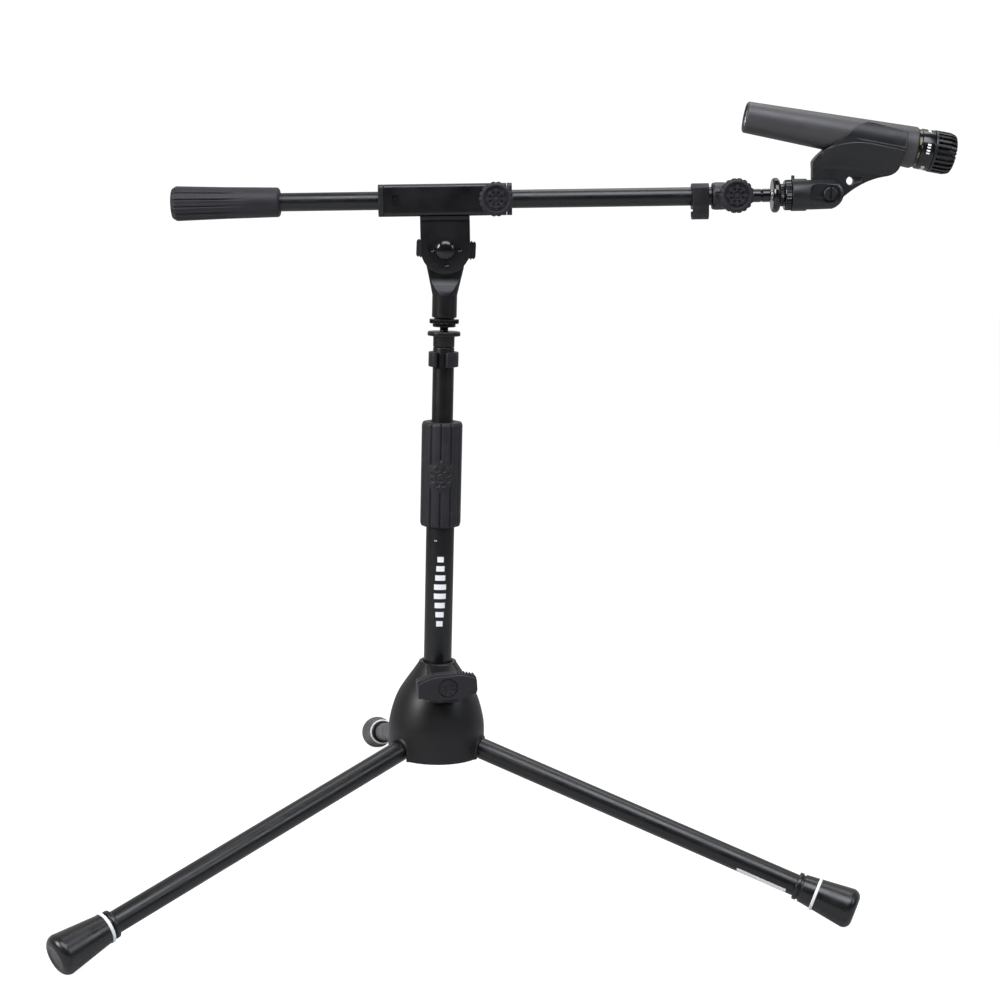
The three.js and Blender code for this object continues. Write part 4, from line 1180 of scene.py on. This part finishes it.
# ---- microphone ----
def make_microphone():
    where = MIC @ ALONG_X
    length = MIC_HANDLE_LENGTH
    handle = loop([
        (9.3, 0.4), (10.0, 0, 0.3), (MIC_REAR_R, 1.1, 0.8), (MIC_FRONT_R, length - 1.2, 0.6),
        (14.2, length, 0.4), (13.4, length), (13.4, 118), (10.2, 24), (9.3, 22),
    ])
    turned("mic_handle", handle, where, 128)
    shell = rounded([(0, 14), (7.6, 14), (7.6, 1.6, 0.2), (9, 1.6, 0.2), (9, 21), (0, 21)])
    turned("mic_connector", shell, where, 64)
    for k, angle in enumerate((90, 210, 330), 1):
        spot = (4.2 * math.cos(math.radians(angle)), 4.2 * math.sin(math.radians(angle)))
        pin = rounded([(0, 2.5), (1.3, 2.5, 0.9), (1.3, 14.4), (0, 14.4)])
        made = solid(lathe(pin, 24), shifted(where, *spot))
        show(made, "mic_connector", name=f"mic_pin_{k}", body="microphone")
    core = rounded([(0, 12.4), (7.5, 12.4), (7.5, 14.2), (0, 14.2)])
    show(solid(lathe(core, 48), where), "mic_connector", slot="nylon_black",
         name="mic_connector_insert", body="microphone")

    ring = loop([
        (11, 119), (12.6, 119), (12.6, length + GAP), (13.7, length + GAP), (13.7, 128.4, 0.3),
        (14.5, 129, 0.4), (14.75, MIC_RING_END, 0.4), (11, MIC_RING_END),
    ])
    turned("mic_head_ring", ring, where, 128)
    for k in range(9):
        window = wrapped(13.66, 0.12, 126.9, 128.2, 40 * k + 6, 40 * k + 22)
        show(solid(window, where), "mic_head_ring", slot="brass", name=f"mic_neck_window_{k + 1}",
             body="microphone")
    for k in range(5):
        for m, width in enumerate((5, 4, 5, 4)):
            first = 72 * k + 256 + 8.2 * m
            dash = wrapped(14.6, 0.1, 132.4, 134.9, first, first + width)
            show(solid(dash, where), "mic_head_ring", slot="ring_white", body="microphone",
                 name=f"mic_ring_dash_{k + 1}_{m + 1}")
    make_grille(where)


def make_grille(where):
    ribs = 24
    start = MIC_RING_END + GAP

    def slots(r, z, angle):
        turn = abs(share_of_turn(angle, ribs)) * 2
        open_share = 1 - smooth_step(0.42, 0.54, turn)
        depth = 2.3 * open_share * smooth_step(start + 1.4, start + 2.2, z) * smooth_step(5.5, 7.5, r)
        inward = (-0.9, -0.45) if z > MIC_LENGTH - 7 else (-1, 0)
        return r + inward[0] * depth, z + inward[1] * depth

    outline = rounded([
        (13.0, start), (15.1, start, 0.3), (15.1, MIC_LENGTH - 6, 4), (13.9, MIC_LENGTH - 1.8, 2.5),
        (11, MIC_LENGTH - 0.6, 4), (5, MIC_LENGTH, 8), (0, MIC_LENGTH),
    ])
    lining = [(0, MIC_LENGTH - 3.4), (8, MIC_LENGTH - 3.7), (11.2, MIC_LENGTH - 6),
              (12.2, MIC_LENGTH - 9)]
    shell = fine(lining + outline, 0.6)
    turned("mic_grille", shell, where, ribs * 14, bend=slots, sharp=45)


# ---- stage ----
LENS = 64.706
CAMERA_FROM_CROSSING = (44.62, -1336.75, 395.84)
CAMERA_PITCH = 9.20
CAMERA_ROLL = 1.416


def make_camera():
    data = bpy.data.cameras.new("camera")
    data.sensor_width = 36
    data.lens = LENS
    made = added("camera", data)
    spot = crossing + Vector(CAMERA_FROM_CROSSING) * MM
    pitch, roll = math.radians(CAMERA_PITCH), math.radians(CAMERA_ROLL)
    ahead = Vector((0, math.cos(pitch), -math.sin(pitch)))
    level = Vector((1, 0, 0))
    above = level.cross(ahead)
    right = math.cos(roll) * level + math.sin(roll) * above
    top = -math.sin(roll) * level + math.cos(roll) * above
    turn = Matrix((right, top, -ahead)).transposed().to_4x4()
    made.matrix_world = Matrix.Translation(spot) @ turn
    bpy.context.scene.camera = made


def area_light(name, spot, aim, size, power, colour=(1, 1, 1)):
    data = bpy.data.lights.new(name, "AREA")
    data.shape = "RECTANGLE"
    data.size, data.size_y = size
    data.energy = power
    data.color = colour
    made = added(name, data)
    made.location = spot
    made.rotation_euler = (Vector(aim) - Vector(spot)).to_track_quat("-Z", "Y").to_euler()
    made.visible_camera = False


def flat_shade(name, colour, glow):
    """A matte finish for the stage, with a glow of its own."""
    made = bpy.data.materials.new(name)
    made.use_nodes = True
    shader = made.node_tree.nodes["Principled BSDF"]
    set_inputs(shader, {
        "Base Color": (colour, colour, colour, 1), "Roughness": 0.9, "Specular IOR Level": 0.0,
        "Emission Color": (1, 1, 1, 1), "Emission Strength": glow,
    })
    return made


def stage_piece(name, data, finish_used, seen, height=0.0):
    """Part of the studio: either only the camera sees it, or only the light does."""
    made = solid(data, name=name)
    made.location.z = height
    made.data.materials.append(finish_used)
    made.visible_camera = seen
    made.visible_diffuse = not seen
    made.visible_glossy = not seen
    made.visible_transmission = not seen
    made.visible_shadow = not seen


def make_stage():
    disc = lathe([(0, 0), (9000, 0)], 96)
    dome_side = [(11000 * math.cos(t), 11000 * math.sin(t))
                 for t in (math.pi * (k / 24 - 0.5) for k in range(25))]
    stage_piece("floor", disc, flat_shade("pale_floor", 0.2, 0.95), True, -0.0004)
    stage_piece("bounce_floor", disc, flat_shade("floor_bounce", 0.5, 0.0), False, -0.0008)
    stage_piece("backdrop", lathe(dome_side, 48), flat_shade("pale_backdrop", 0.0, 1.05), True)

    world = bpy.data.worlds.new("studio")
    bpy.context.scene.world = world
    world.use_nodes = True
    tree = world.node_tree
    light = tree.nodes["Background"]
    where = tree.nodes.new("ShaderNodeTexCoord")
    parts = tree.nodes.new("ShaderNodeSeparateXYZ")
    link(tree, where.outputs["Generated"], parts.inputs[0])
    link(tree, ranged(tree, parts.outputs["Y"], -0.2, 0.7, 0.02, 0.6), light.inputs["Strength"])
    light.inputs["Color"].default_value = (1, 1, 1, 1)

    aim = (0, 0, 0.3)
    area_light("over_front", (0.05, -1.0, 1.8), aim, (1.6, 0.9), 33, (0.88, 0.92, 1.0))
    area_light("left", (-1.5, -0.95, 1.15), aim, (0.6, 0.7), 25, (1.0, 0.97, 0.96))
    area_light("right", (1.6, -0.9, 1.2), aim, (0.7, 0.7), 8, (0.9, 0.94, 1.0))
    area_light("top", (0.3, 0.6, 2.0), aim, (1.2, 0.8), 10)
    bpy.context.scene.view_settings.view_transform = "Standard"


def dress_inner_nodes():
    """Gives the CAD nodes that still show, inside or underneath, their finish."""
    for node, made in frame["nodes"].items():
        if made.hide_render:
            continue
        slot = SLOT_OF[node]
        made.data.materials.clear()
        made.data.materials.append(FINISHES[slot])


make_camera()
make_finishes()
make_hub()
make_base_knob()
make_legs()
make_shaft()
make_yoke()
make_bracket()
make_tilt_knob()
make_sleeve()
make_round_knob("sleeve_knob", 37.9, SLEEVE_HALF_DEPTH + GAP, 7.3)
make_boom()
make_round_knob("extension_knob", EXTENSION_KNOB_X, 10.5, 5.45)
make_clip_base()
make_holder()
make_microphone()
dress_inner_nodes()
make_stage()
